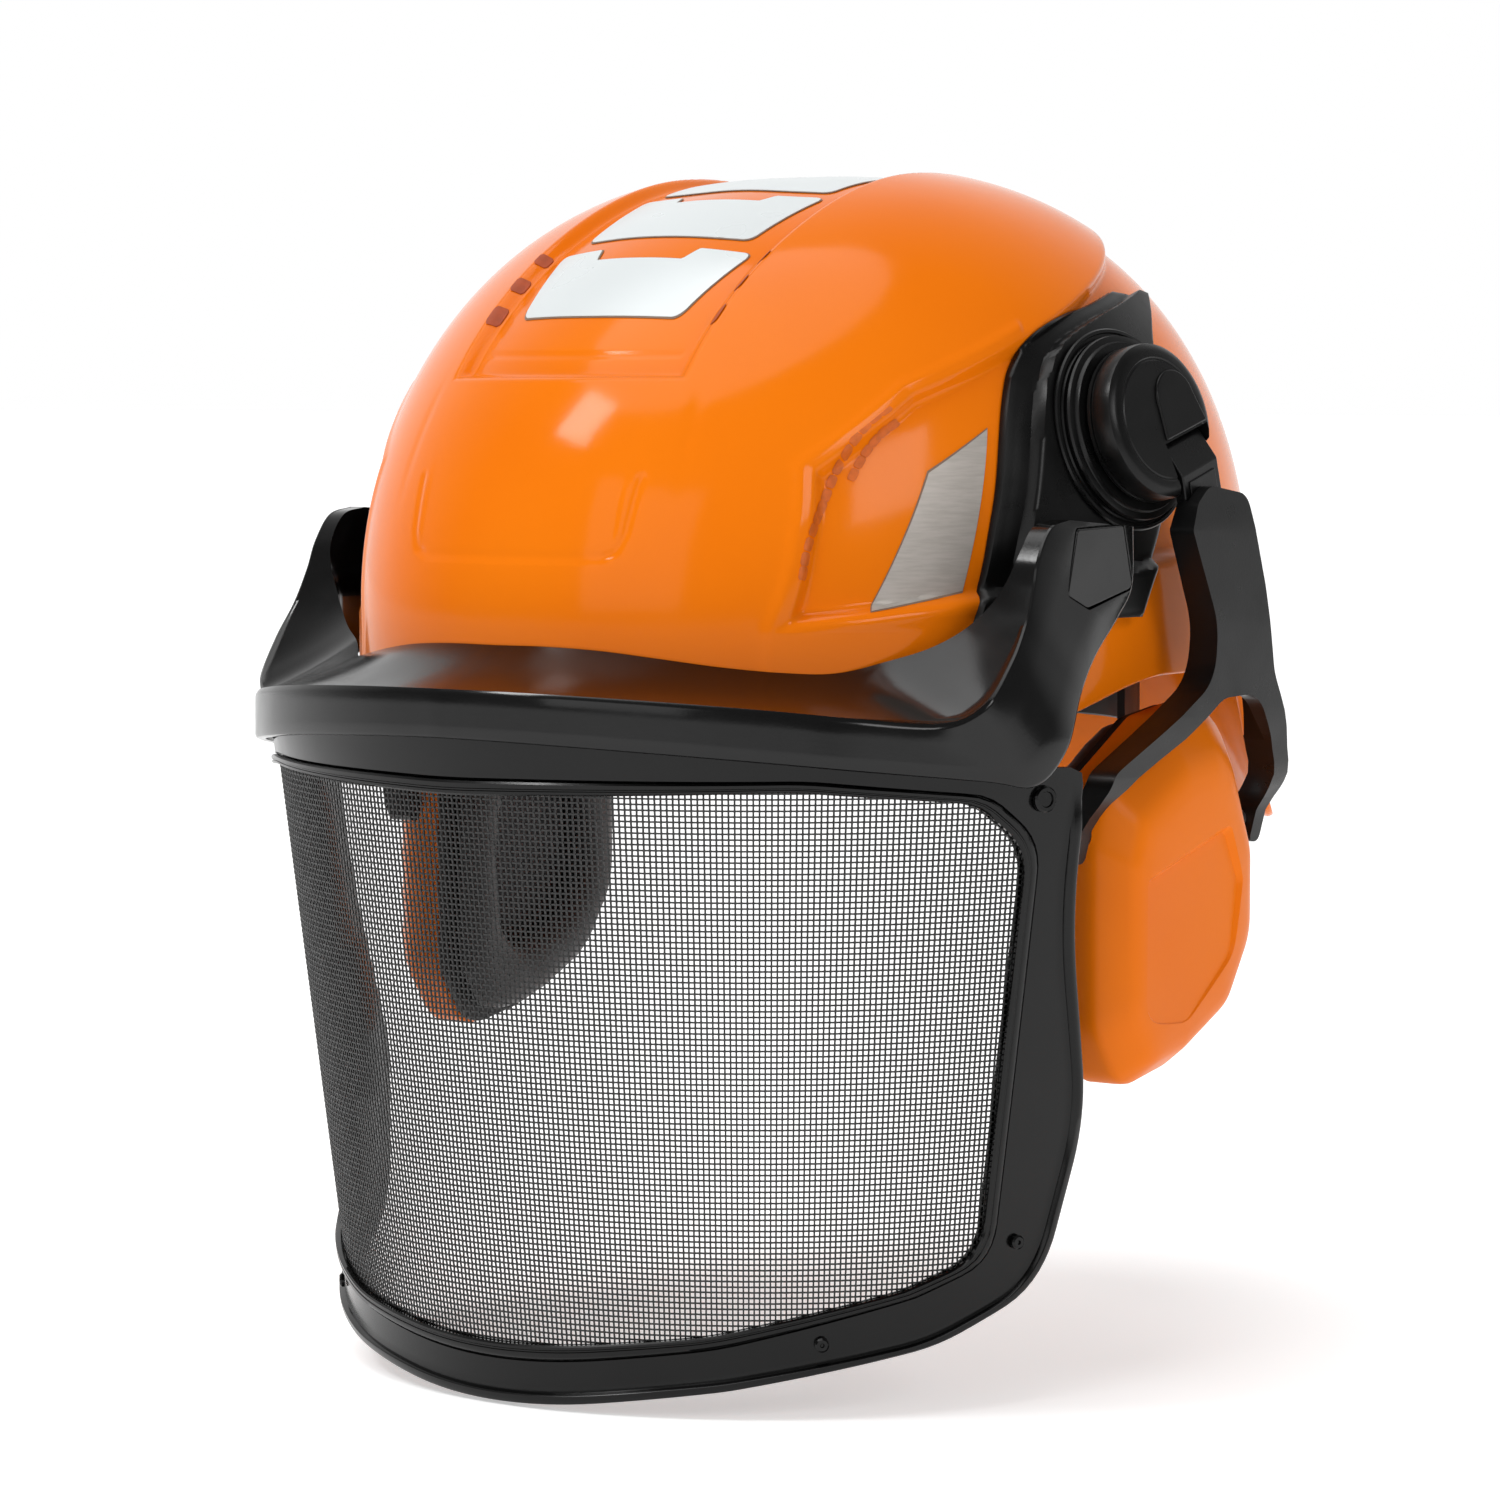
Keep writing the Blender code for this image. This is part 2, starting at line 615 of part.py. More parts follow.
def build_cup(shell_plastic, plastic, fabric, foam, steel):
    wall = 2.4
    bowl = [cup_ring(CUP_FACE_X, 8.0, 1.0), cup_ring(105.0, 3.2, 0.5), cup_ring(99.5, 0.0),
            cup_ring(CUP_BACK_X, 0.0), cup_ring(CUP_BACK_X, wall), cup_ring(99.0, wall),
            cup_ring(103.6, 5.4, 0.5), cup_ring(CUP_FACE_X - wall, 10.0, 1.0)]
    left = make_object("cup_shell_left", loft(bowl), shell_plastic)
    cut_with(left, make_object("hole", cup_pin(CUP_PIN_RADIUS + GAP, -36.6, 38.2), plastic))
    mirrored(left, "cup_shell_right")
    back = CUP_BACK_X - GAP
    plate = [cup_ring(back, 0.5), cup_ring(back, 15.0), cup_ring(back - 2.0, 15.0),
             cup_ring(back - 2.0, 0.5)]
    both_sides("cup_plate", loft(plate, closed_path=True), plastic)
    root = back - 2.0 - GAP
    crown = CUSHION_INNER_X
    pad = [cup_ring(root, 1.0), cup_ring(root, 17.0), cup_ring(crown + 3.0, 18.0),
           cup_ring(crown, 15.0), cup_ring(crown, 6.0), cup_ring(crown + 3.0, 1.5),
           cup_ring(mix(crown + 3.0, root, 0.5), 0.4)]
    both_sides("cushion", loft(pad, closed_path=True), fabric)
    liner = [cup_ring(CUP_BACK_X + 0.6, 4.0), cup_ring(98.0, 4.0), cup_ring(102.0, 8.0, 0.5)]
    both_sides("foam_liner", loft(liner), foam)
    for end, (near, far) in CUP_PIN_ENDS.items():
        both_sides("cup_pin_" + end, cup_pin(CUP_PIN_RADIUS, near, far), steel)


# ---------------------------------------------------------------- visor

def cone_point(arc, z, lift=0.0):
    """A point of the visor's surface: arc is the distance round from the middle line."""
    azimuth = arc / VISOR_UNROLL_RADIUS
    radius = VISOR_RADIUS - VISOR_TAPER * (VISOR_TOP_Z - z) + lift
    return Vector((radius * math.sin(azimuth), VISOR_CENTRE_Y - radius * math.cos(azimuth), z))


FRAME_OUTLINE = [(74.0, -21.5, 80.0), (119.0, -29.4, 40.0), (138.2, -29.5, 4.0),
                 (137.4, -64.0, 120.0), (147.0, -108.0, 50.0), (138.0, -145.0, 24.0),
                 (110.0, -156.8, 60.0), (60.0, -165.8, 120.0), (0.0, -173.4, 260.0)]
OPENING_OUTLINE = [(0.0, -35.6, 260.0), (74.0, -33.4, 80.0), (112.0, -36.6, 14.0), (124.8, -47.0, 14.0),
                   (120.4, -137.4, 12.0), (101.0, -144.2, 20.0), (55.0, -153.8, 120.0),
                   (0.0, -159.4, 260.0)]
FRAME_SPOKES = 76
VISOR_MIDDLE_Z = -95.0


def spoked(half_outline, grow=0.0):
    """The whole outline met by evenly turned spokes from the visor's middle."""
    other = [(-u, v, radius) for u, v, radius in reversed(half_outline) if u]
    points = [Vector(p) for p in rounded(half_outline + other, 4)]
    centre = Vector((0.0, VISOR_MIDDLE_Z))
    met = []
    for k in range(FRAME_SPOKES):
        turn = math.tau * k / FRAME_SPOKES
        along = Vector((math.cos(turn), math.sin(turn)))
        side = Vector((-along.y, along.x))
        for a, b in zip(points, points[1:] + points[:1]):
            low, high = (a - centre).dot(side), (b - centre).dot(side)
            if low * high > 0.0 or low == high:
                continue
            hit = a.lerp(b, low / (low - high)) - centre
            if hit.dot(along) > 0.0:
                met.append(centre + hit + along * grow)
                break
    return met


def visor_ring(inner, outer, offset, lift):
    """A ring offset from the inner outline when offset is positive, else from the outer."""
    ring = []
    for a, b in zip(inner, outer):
        across = (b - a).normalized()
        room = (b - a).length - RABBET - 0.2
        spot = a + across * offset if offset >= 0.0 else b - across * min(-offset, room)
        ring.append(cone_point(spot.x, spot.y, lift))
    return ring


def build_visor(plastic, black_wire, steel):
    inner = spoked(OPENING_OUTLINE)
    outer = spoked(FRAME_OUTLINE)
    bed = FRAME_THICKNESS - 1.6

    def ring(offset, lift):
        return visor_ring(inner, outer, offset, lift)

    lip = FRAME_THICKNESS + FRAME_LIP
    lip_ring = [cone_point(b.x, b.y, FRAME_THICKNESS + FRAME_LIP * lip_height(b))
                for b in outer]
    lip_inner = []
    for a, b in zip(inner, outer):
        room = 0.6 * ((b - a).length - RABBET - 0.2)
        spot = b - (b - a).normalized() * min(FRAME_LIP_WIDTH, room)
        lip_inner.append(cone_point(spot.x, spot.y,
                                    FRAME_THICKNESS + FRAME_LIP * lip_height(b)))
    rows = [ring(0.0, 0.0), ring(0.0, bed), ring(RABBET, bed), ring(RABBET, FRAME_THICKNESS),
            ring(-FRAME_LIP_WIDTH - 0.8, FRAME_THICKNESS), lip_inner, lip_ring,
            [cone_point(b.x, b.y, 0.0) for b in outer]]
    make_object("visor_frame", loft(rows, closed_path=True), plastic)
    sheet_low = bed + GAP
    sheet_high = sheet_low + MESH_THICKNESS
    strip_low = sheet_high + GAP
    strip_high = strip_low + RETAINER_THICKNESS
    strip = [ring(0.0, strip_low), ring(0.0, strip_high), ring(RETAINER_WIDTH, strip_high),
             ring(RETAINER_WIDTH, strip_low)]
    make_object("mesh_retainer", loft(strip, closed_path=True), plastic)
    make_object("visor_mesh", mesh_sheet(inner, sheet_low, sheet_high), black_wire)
    peg = turned([(0.0, 0.0), (2.9, 0.0), (2.9, 1.4), (0.0, 1.4)],
                 axis_frame(cone_point(PEG_ARC, PEG_Z, FRAME_THICKNESS + GAP),
                            (math.sin(PEG_ARC / VISOR_UNROLL_RADIUS),
                             -math.cos(PEG_ARC / VISOR_UNROLL_RADIUS), 0.0)), 16)
    both_sides("frame_peg", peg, steel)


def lip_height(spot):
    """The frame's outer lip dies out where the frame slips under the peak."""
    return 1.0 - smooth(spot.y, -44.0, -34.0)


def mesh_sheet(inner, low, high):
    """The mesh as one thin closed sheet that ends inside the frame's rabbet."""
    centre = Vector((0.0, VISOR_MIDDLE_Z))
    bm = bmesh.new()
    layers = []
    for lift in (low, high):
        rows = []
        for part in (0.17, 0.34, 0.5, 0.65, 0.78, 0.9, 1.0):
            row = []
            for spot in inner:
                away = spot - centre
                reach = away + away.normalized() * (MESH_OVERLAP if part == 1.0 else 0.0)
                place = centre + reach * part
                row.append(bm.verts.new(cone_point(place.x, place.y, lift)))
            rows.append(row)
        hub = bm.verts.new(cone_point(centre.x, centre.y, lift))
        layers.append((rows, hub))
    count = len(inner)
    for rows, hub in layers:
        for i in range(count):
            j = (i + 1) % count
            bm.faces.new((hub, rows[0][i], rows[0][j]))
            for a, b in zip(rows, rows[1:]):
                bm.faces.new((a[i], b[i], b[j], a[j]))
    edge_low, edge_high = layers[0][0][-1], layers[1][0][-1]
    for i in range(count):
        j = (i + 1) % count
        bm.faces.new((edge_low[i], edge_high[i], edge_high[j], edge_low[j]))
    return bm


def peak_station(azimuth):
    """Shell edge, upper rim and lower rim of the peak at an azimuth of its front sweep."""
    turn = math.radians(azimuth)
    outward = Vector((math.sin(turn), -math.cos(turn), 0.0))
    centre = Vector((0.0, VISOR_CENTRE_Y, 0.0))
    reach = PEAK_RADIUS
    for _ in range(40):
        spot = centre + outward * reach
        size = (abs(spot.x) / (SHELL_HALF_WIDTH + 0.8)) ** SHELL_POWER
        size += (abs(spot.y - SHELL_CENTRE_Y) / (SHELL_HALF_LENGTH + 0.8)) ** SHELL_POWER
        reach -= (size ** (1.0 / SHELL_POWER) - 1.0) * 60.0
    seat = centre + outward * reach
    seat.z = -3.6 - 5.4 * smooth(azimuth, 8.0, 44.0)
    upper = centre + outward * PEAK_RADIUS
    upper.z = -13.0 - 10.0 * (azimuth / 65.0) ** 2
    lower = centre + outward * PEAK_RADIUS
    lower.z = -23.0 - 10.8 * (azimuth / 68.0) ** 1.7
    return seat, upper, lower


ARM_STATIONS = [
    ((76.5, -76.5, -6.5), (98.0, -86.0, -19.5), (103.5, -77.5, -31.6), 0.0),
    ((84.0, -71.0, -3.6), (104.5, -79.5, -15.5), (109.0, -66.0, -33.0), 0.3),
    ((90.0, -66.5, 0.5), (106.2, -72.0, -6.5), (111.0, -57.0, -25.5), 0.65),
    ((94.5, -63.5, 5.5), (105.8, -66.0, 1.5), (108.6, -48.0, -14.0), 0.9),
    ((97.5, -61.8, 10.5), (105.2, -62.0, 9.5), (106.4, -39.0, -6.0), 1.0),
    ((99.3, -59.5, 16.5), (104.8, -59.5, 16.0), (105.0, -27.5, 2.4), 1.0),
    ((99.6, -54.5, 22.5), (104.6, -54.5, 22.3), (104.6, -21.5, 9.0), 1.0),
    ((99.6, -47.0, 24.0), (104.5, -47.0, 24.0), (104.5, -21.0, 22.0), 1.0),
]


def peak_profile(seat, upper, lower, arm):
    """A closed section: outer face through three points, inner face offset by the wall."""
    seat, upper, lower = Vector(seat), Vector(upper), Vector(lower)
    inward = Vector((-upper.x, VISOR_CENTRE_Y - upper.y, 0.0)).normalized()
    drop = Vector((0.0, 0.0, -PEAK_WALL))
    saddle = seat.lerp(upper, 0.55) + Vector((0.0, 0.0, -0.8))
    plate = lower + Vector((-mix(2.6, 5.0, smooth(arm, 0.65, 1.0)), 0.0, 0.0))
    under_seat = (seat + drop).lerp(seat.lerp(plate, 0.12), arm)
    under_upper = (upper + inward * PEAK_WALL + drop).lerp(seat.lerp(plate, 0.55), arm)
    under_lower = (lower + inward * PEAK_WALL).lerp(plate, arm)
    middle = upper.lerp(lower, 0.5)
    return [seat, saddle, upper, middle, lower, under_lower, under_upper, under_seat]


def build_peak(plastic, steel):
    """Brow peak and both pivot arms in one piece."""
    half = [peak_profile(*peak_station(a), 0.0) for a in (7.0, 14.0, 21.0, 28.0, 35.0, 42.0, 49.0, 55.0)]
    half += [peak_profile(*station) for station in ARM_STATIONS]
    middle = peak_profile(*peak_station(0.0), 0.0)
    other = [[Vector((-p.x, p.y, p.z)) for p in ring] for ring in reversed(half)]
    peak = make_object("visor_peak", loft(other + [middle] + half), plastic)
    cap = [(-44.6, 22.0, 1.5), (-26.0, 22.6, 1.5), (-22.2, 8.4, 2.0), (-40.2, 4.4, 2.0),
           (-48.4, 7.6, 1.5)]
    cap_outline = rounded(cap, 2)
    centre = Vector((-35.0, 13.0))
    for side in (1.0, -1.0):
        recess = [centre + (Vector(p) - centre) * 1.04 for p in cap_outline]
        pocket = prism(recess, lambda y, z, w: Vector((side * (102.6 + w), y, z)), 9.0)
        cut_with(peak, make_object("pocket", pocket, plastic))
        bore = turned([(0.0, 90.0), (5.6, 90.0), (5.6, 103.5), (0.0, 103.5)],
                      axis_frame((0.0, PIVOT_Y, PIVOT_Z), (side, 0.0, 0.0)), 16)
        cut_with(peak, make_object("bore", bore, plastic))
    cap_body = prism(cap_outline, lambda y, z, w: Vector((102.9 + w, y, z)), 1.9)
    both_sides("pivot_cap", cap_body, plastic)
    pin = turned([(0.0, 96.0), (5.2, 96.0), (5.2, 102.3), (0.0, 102.3)],
                 axis_frame((0.0, PIVOT_Y, PIVOT_Z), (1.0, 0.0, 0.0)), 16)
    both_sides("visor_pivot", pin, steel)


# ---------------------------------------------------------------- harness

def band_ring(start, end, steps, inset, top_z, bottom_z, wall, half_width, half_length):
    """Sections of an upright band that follows an oval between two azimuths in degrees."""
    rings = []
    for k in range(steps + 1):
        angle = math.radians(mix(start, end, k / steps))
        ring = []
        for offset, z in ((0.0, bottom_z), (0.0, top_z), (wall, top_z), (wall, bottom_z)):
            x, y = oval(angle, half_width - inset + offset, half_length - inset + offset,
                        0.0, 2.1)
            ring.append(Vector((x, y, z)))
        rings.append(ring)
    return rings


def crown_strap(half_reach, top_z, side, steps=20):
    """A flat webbing arch over the head; side picks an arch across or along it."""
    rings = []
    for k in range(steps + 1):
        turn = math.pi * k / steps
        reach, height = half_reach * math.cos(turn), top_z * math.sin(turn)
        slope = Vector((math.cos(turn) / half_reach, math.sin(turn) / top_z)).normalized()
        ring = []
        for along, out in ((-9.0, 0.0), (9.0, 0.0), (9.0, 1.2), (-9.0, 1.2)):
            a = reach + slope.x * out
            z = height + slope.y * out + 4.0
            ring.append(Vector((a, along, z)) if side else Vector((along, a, z)))
        rings.append(ring)
    return rings


def build_harness(plastic, fabric, webbing):
    bottom = BAND_TOP_Z - BAND_HEIGHT
    band = band_ring(-142.0, 142.0, 44, 0.0, BAND_TOP_Z, bottom, BAND_WALL,
                     HEAD_HALF_WIDTH, HEAD_HALF_LENGTH)
    make_object("headband", loft(band), plastic)
    pad = band_ring(-52.0, 52.0, 16, 3.6, BAND_TOP_Z - 2.0, bottom + 1.0, 3.2,
                    HEAD_HALF_WIDTH, HEAD_HALF_LENGTH)
    make_object("brow_pad", loft(pad), fabric)
    nape = band_ring(112.0, 248.0, 24, 0.0, bottom - 0.6, bottom - 20.0, 1.8,
                     HEAD_HALF_WIDTH, HEAD_HALF_LENGTH)
    make_object("nape_strap", loft(nape), plastic)
    make_object("crown_strap_across", loft(crown_strap(HEAD_HALF_WIDTH - 2.0, 82.0, True)),
                webbing)
    make_object("crown_strap_along", loft(crown_strap(HEAD_HALF_LENGTH - 6.0, 78.0, False)),
                webbing)
    for name, azimuth, stand_off, reach in (("front", 44.0, 1.0, 8.5), ("rear", 128.0, 4.0, 11.0)):
        turn = math.radians(azimuth)
        start = Vector(oval(turn, HEAD_HALF_WIDTH + BAND_WALL + stand_off,
                            HEAD_HALF_LENGTH + BAND_WALL + stand_off, 0.0, 2.1))
        end = Vector(oval(turn, SHELL_HALF_WIDTH - reach, SHELL_HALF_LENGTH - reach,
                          SHELL_CENTRE_Y, SHELL_POWER))
        along = (end - start).normalized()
        side = Vector((-along.y, along.x)) * 6.0
        corners = [start - side, end - side, end + side, start + side]
        clip = prism([tuple(c) for c in corners], lambda x, y, w: Vector((x, y, w + 7.0)), 9.0)
        both_sides("harness_clip_" + name, clip, plastic)


# ---------------------------------------------------------------- scene

def set_pivot(names, point):
    """Moves the origin of each named node onto its joint's axis, without moving its shape."""
    for name in names:
        node = bpy.data.objects[name]
        place = Vector(point) * MM
        node.data.transform(Matrix.Translation(-place))
        node.location = place


def set_pivots():
    set_pivot(("visor_peak", "visor_frame", "mesh_retainer", "visor_mesh", "frame_peg_left",
               "frame_peg_right", "pivot_cap_left", "pivot_cap_right"), (0.0, PIVOT_Y, PIVOT_Z))
    for side, sign in (("left", 1.0), ("right", -1.0)):
        def mirror(point):
            return (sign * point[0], point[1], point[2])

        set_pivot(("hub_disc_" + side, "swing_pin_" + side), mirror(HUB_BASE))
        set_pivot(("muff_arm_" + side, "yoke_" + side), mirror(SWING_PIN))
        cup = ("cup_shell_", "cup_plate_", "cushion_", "foam_liner_")
        set_pivot([name + side for name in cup], mirror((CUP_PIVOT_X, 0.0, CUP_PIVOT_Z)))


def main():
    for old in list(bpy.data.objects):
        bpy.data.objects.remove(old)
    orange = material("orange_plastic", (0.90, 0.26, 0.02), 0.28)
    black = material("black_plastic", (0.012, 0.012, 0.013), 0.38)
    foil = material("reflective_foil", (0.72, 0.74, 0.75), 0.35, 0.6)
    steel = material("steel", (0.55, 0.55, 0.56), 0.3, 1.0)
    wire = material("mesh_wire", (0.02, 0.02, 0.02), 0.5)
    leatherette = material("leatherette", (0.02, 0.02, 0.02), 0.55)
    foam = material("foam", (0.05, 0.05, 0.05), 0.9)
    webbing = material("webbing", (0.03, 0.03, 0.03), 0.8)
    build_shell(orange)
    build_stickers(foil)
    build_side_mounts(black)
    build_hubs(black, steel)
    build_strap(black)
    build_yoke(black)
    build_cup(orange, black, leatherette, foam, steel)
    build_visor(black, wire, black)
    build_peak(black, steel)
    build_harness(black, leatherette, webbing)
    set_pivots()


main()
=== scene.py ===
"""The look of the forestry helmet: its shell, visor, muffs and harness, in the CAD's frame."""

from math import acos, atan2, ceil, copysign, cos, floor, pi, radians, sin, sqrt, tan, tau

import bmesh
import bpy
import numpy as np
from mathutils import Matrix, Vector


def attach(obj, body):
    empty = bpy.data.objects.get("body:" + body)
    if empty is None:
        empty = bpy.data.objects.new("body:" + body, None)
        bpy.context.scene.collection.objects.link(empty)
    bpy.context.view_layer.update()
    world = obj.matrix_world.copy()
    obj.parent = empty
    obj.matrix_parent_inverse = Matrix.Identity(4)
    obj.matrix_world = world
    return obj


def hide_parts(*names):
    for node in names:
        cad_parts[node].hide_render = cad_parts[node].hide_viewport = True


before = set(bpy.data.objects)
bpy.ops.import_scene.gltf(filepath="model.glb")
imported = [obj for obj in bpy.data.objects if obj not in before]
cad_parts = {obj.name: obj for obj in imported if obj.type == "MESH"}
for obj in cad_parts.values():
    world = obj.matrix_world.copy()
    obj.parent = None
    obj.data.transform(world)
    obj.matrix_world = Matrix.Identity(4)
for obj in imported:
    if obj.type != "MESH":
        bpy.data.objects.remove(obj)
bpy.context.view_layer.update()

MM = 0.001
MERGE = 1e-4
BLACK = "black_plastic"
MATS = {}
SHELL_WIDE, SHELL_LONG, SHELL_HIGH, SHELL_Y, SHELL_POWER = 96, 120, 105, 3, 2.1
SHELL_WALL = 2.5
VISOR_Y, VISOR_R, VISOR_TOP, VISOR_TAPER, UNROLL = -20.6, 112.4, -20, 0.125, 105
HUB = Vector((94, -9.5, 43.5))
LEAN_UP, LEAN_FORWARD = radians(12), radians(6)
SWING = Vector((103, -2, 39))
SIDES = (("left", 1), ("right", -1))
MESH_PITCH, WIRE_HALF, WEAVE, MESH_LIFT = 1.25, 0.19, 0.1, 1.6
CAMERA_TURN, CAMERA_RISE, CAMERA_RANGE = radians(37), radians(4), 1.25
FLOOR_Z = -0.1722


# ---- small tools

def clamp(t):
    return max(0, min(1, t))


def mix(a, b, t):
    return a + (b - a) * t


def nsmooth(value, start, end):
    """Eases from 0 to 1 as a value, or each of an array, goes from start to end."""
    t = np.clip((value - start) / (end - start), 0, 1)
    return t * t * (3 - 2 * t)


def smooth(value, start, end):
    return float(nsmooth(value, start, end))


def new_object(name, data):
    obj = bpy.data.objects.new(name, data)
    bpy.context.collection.objects.link(obj)
    return obj


def settle(obj, body, replaces=()):
    """Sets a piece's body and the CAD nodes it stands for."""
    if body:
        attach(obj, body)
    if replaces:
        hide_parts(*replaces)


def add_bevel(obj, width, angle=28, segments=3):
    mod = obj.modifiers.new("bevel", "BEVEL")
    mod.width, mod.segments, mod.limit_method = width * MM, segments, "ANGLE"
    mod.angle_limit = radians(angle)
    mod.harden_normals = True


def apply_all(obj):
    """Makes the evaluated mesh the piece's own, and drops its modifiers."""
    bpy.context.view_layer.update()
    graph = bpy.context.evaluated_depsgraph_get()
    mesh = bpy.data.meshes.new_from_object(obj.evaluated_get(graph))
    obj.modifiers.clear()
    old, obj.data = obj.data, mesh
    bpy.data.meshes.remove(old)


def cut_out(obj, bm, mat):
    """Cuts a helper solid out of a piece."""
    cutter = add_object("cutter", bm, mat)
    mod = obj.modifiers.new("cut", "BOOLEAN")
    mod.operation, mod.solver, mod.object = "DIFFERENCE", "EXACT", cutter
    apply_all(obj)
    bpy.data.objects.remove(cutter)


def add_object(name, bm, mat, sharp=32, body=None, replaces=(), slot=None, bevel=0):
    """A finished piece from a bmesh in millimetres."""
    bmesh.ops.remove_doubles(bm, verts=bm.verts, dist=MERGE)
    bmesh.ops.scale(bm, vec=(MM, MM, MM), verts=bm.verts)
    bmesh.ops.recalc_face_normals(bm, faces=bm.faces)
    mesh = bpy.data.meshes.new(name)
    bm.to_mesh(mesh)
    bm.free()
    mesh.shade_smooth()
    mesh.set_sharp_from_angle(angle=radians(sharp))
    mesh.materials.append(MATS[mat])
    obj = new_object(name, mesh)
    if bevel:
        add_bevel(obj, bevel)
    settle(obj, body, replaces)
    return obj


def mirror_bm(bm):
    twin = bm.copy()
    for vert in twin.verts:
        vert.co.x = -vert.co.x
    bmesh.ops.reverse_faces(twin, faces=twin.faces)
    return twin


def both(name, bm, mat, body, replaces=(), **more):
    """The left piece and its mirrored right twin; body and replaces are stems."""
    made = []
    for (side, sign), mesh in zip(SIDES, (bm, mirror_bm(bm))):
        nodes = [stem + "_" + side for stem in replaces]
        where = body if body in (None, "helmet", "visor", "nape") else body + "_" + side
        made.append(add_object(name + "_" + side, mesh, mat, body=where, replaces=nodes, **more))
    return made


def carve(pieces, tools, mat, sharp, bevel=0, angle=28):
    """Cuts helper solids out of a left piece and, mirrored, out of its right twin."""
    for obj, turn_over in zip(pieces, (bmesh.types.BMesh.copy, mirror_bm)):
        for bm in tools:
            cut_out(obj, turn_over(bm), mat)
        obj.data.set_sharp_from_angle(angle=radians(sharp))
        if bevel:
            add_bevel(obj, bevel, angle)


def loft(rings, closed_path=False):
    """Skins rings of points, capping both ends unless the path of rings is closed."""
    bm = bmesh.new()
    rows = [[bm.verts.new(p) for p in ring] for ring in rings]
    count = len(rows[0])
    for a, b in zip(rows, rows[1:] + (rows[:1] if closed_path else [])):
        for i in range(count):
            j = (i + 1) % count
            bm.faces.new((a[i], a[j], b[j], b[i]))
    if not closed_path:
        bm.faces.new(rows[0])
        bm.faces.new(rows[-1][::-1])
    return bm


def prism(outline, place, depth):
    bm = bmesh.new()
    near = [bm.verts.new(place(u, v, 0)) for u, v in outline]
    far = [bm.verts.new(place(u, v, depth)) for u, v in outline]
    bm.faces.new(near)
    bm.faces.new(far[::-1])
    for i in range(len(outline)):
        j = (i + 1) % len(outline)
        bm.faces.new((near[i], near[j], far[j], far[i]))
    return bm


def turned(profile, place, steps=96):
    """A solid of revolution about place's Z from (radius, height) points."""
    bm = bmesh.new()
    rows = []
    for radius, height in profile:
        turns = [tau * k / steps for k in range(steps if radius else 1)]
        rows.append([bm.verts.new(place @ Vector((radius * cos(t), radius * sin(t), height)))
                     for t in turns])
    for a, b in zip(rows, rows[1:]):
        for k in range(steps):
            m = (k + 1) % steps
            corners = (a[k % len(a)], a[m % len(a)], b[m % len(b)], b[k % len(b)])
            bm.faces.new(tuple(dict.fromkeys(corners)))
    return bm


def rounded(corners, steps=8):
    outline = []
    count = len(corners)
    for i, (u, v, radius) in enumerate(corners):
        here = Vector((u, v))
        before = Vector(corners[i - 1][:2]) - here
        after = Vector(corners[(i + 1) % count][:2]) - here
        half = before.angle(after) / 2
        reach = min(radius / tan(half), 0.49 * before.length, 0.49 * after.length)
        start = here + before.normalized() * reach
        end = here + after.normalized() * reach
        for k in range(steps + 1):
            t = k / steps
            curve = (1 - t) ** 2 * start + 2 * t * (1 - t) * here + t * t * end
            outline.append((curve.x, curve.y))
    return outline


def frame_at(origin, x, y, z):
    place = Matrix((x, y, z)).transposed().to_4x4()
    place.translation = origin
    return place


def axis_frame(origin, axis):
    """A frame whose Z is the axis."""
    z = Vector(axis).normalized()
    x = Vector((0, 0, 1)).cross(z).normalized()
    return frame_at(origin, x, z.cross(x), z)


def spline(points, t):
    """Catmull-Rom through equally spaced control points; t runs 0..1."""
    span = t * (len(points) - 1)
    i = min(int(span), len(points) - 2)
    f = span - i
    p1, p2 = points[i], points[i + 1]
    p0 = points[i - 1] if i > 0 else p1 + (p1 - p2)
    p3 = points[i + 2] if i + 2 < len(points) else p2 + (p2 - p1)
    return 0.5 * (2 * p1 + (p2 - p0) * f + (2 * p0 - 5 * p1 + 4 * p2 - p3) * f * f
                  + (3 * p1 - p0 - 3 * p2 + p3) * f ** 3)


# ---- materials

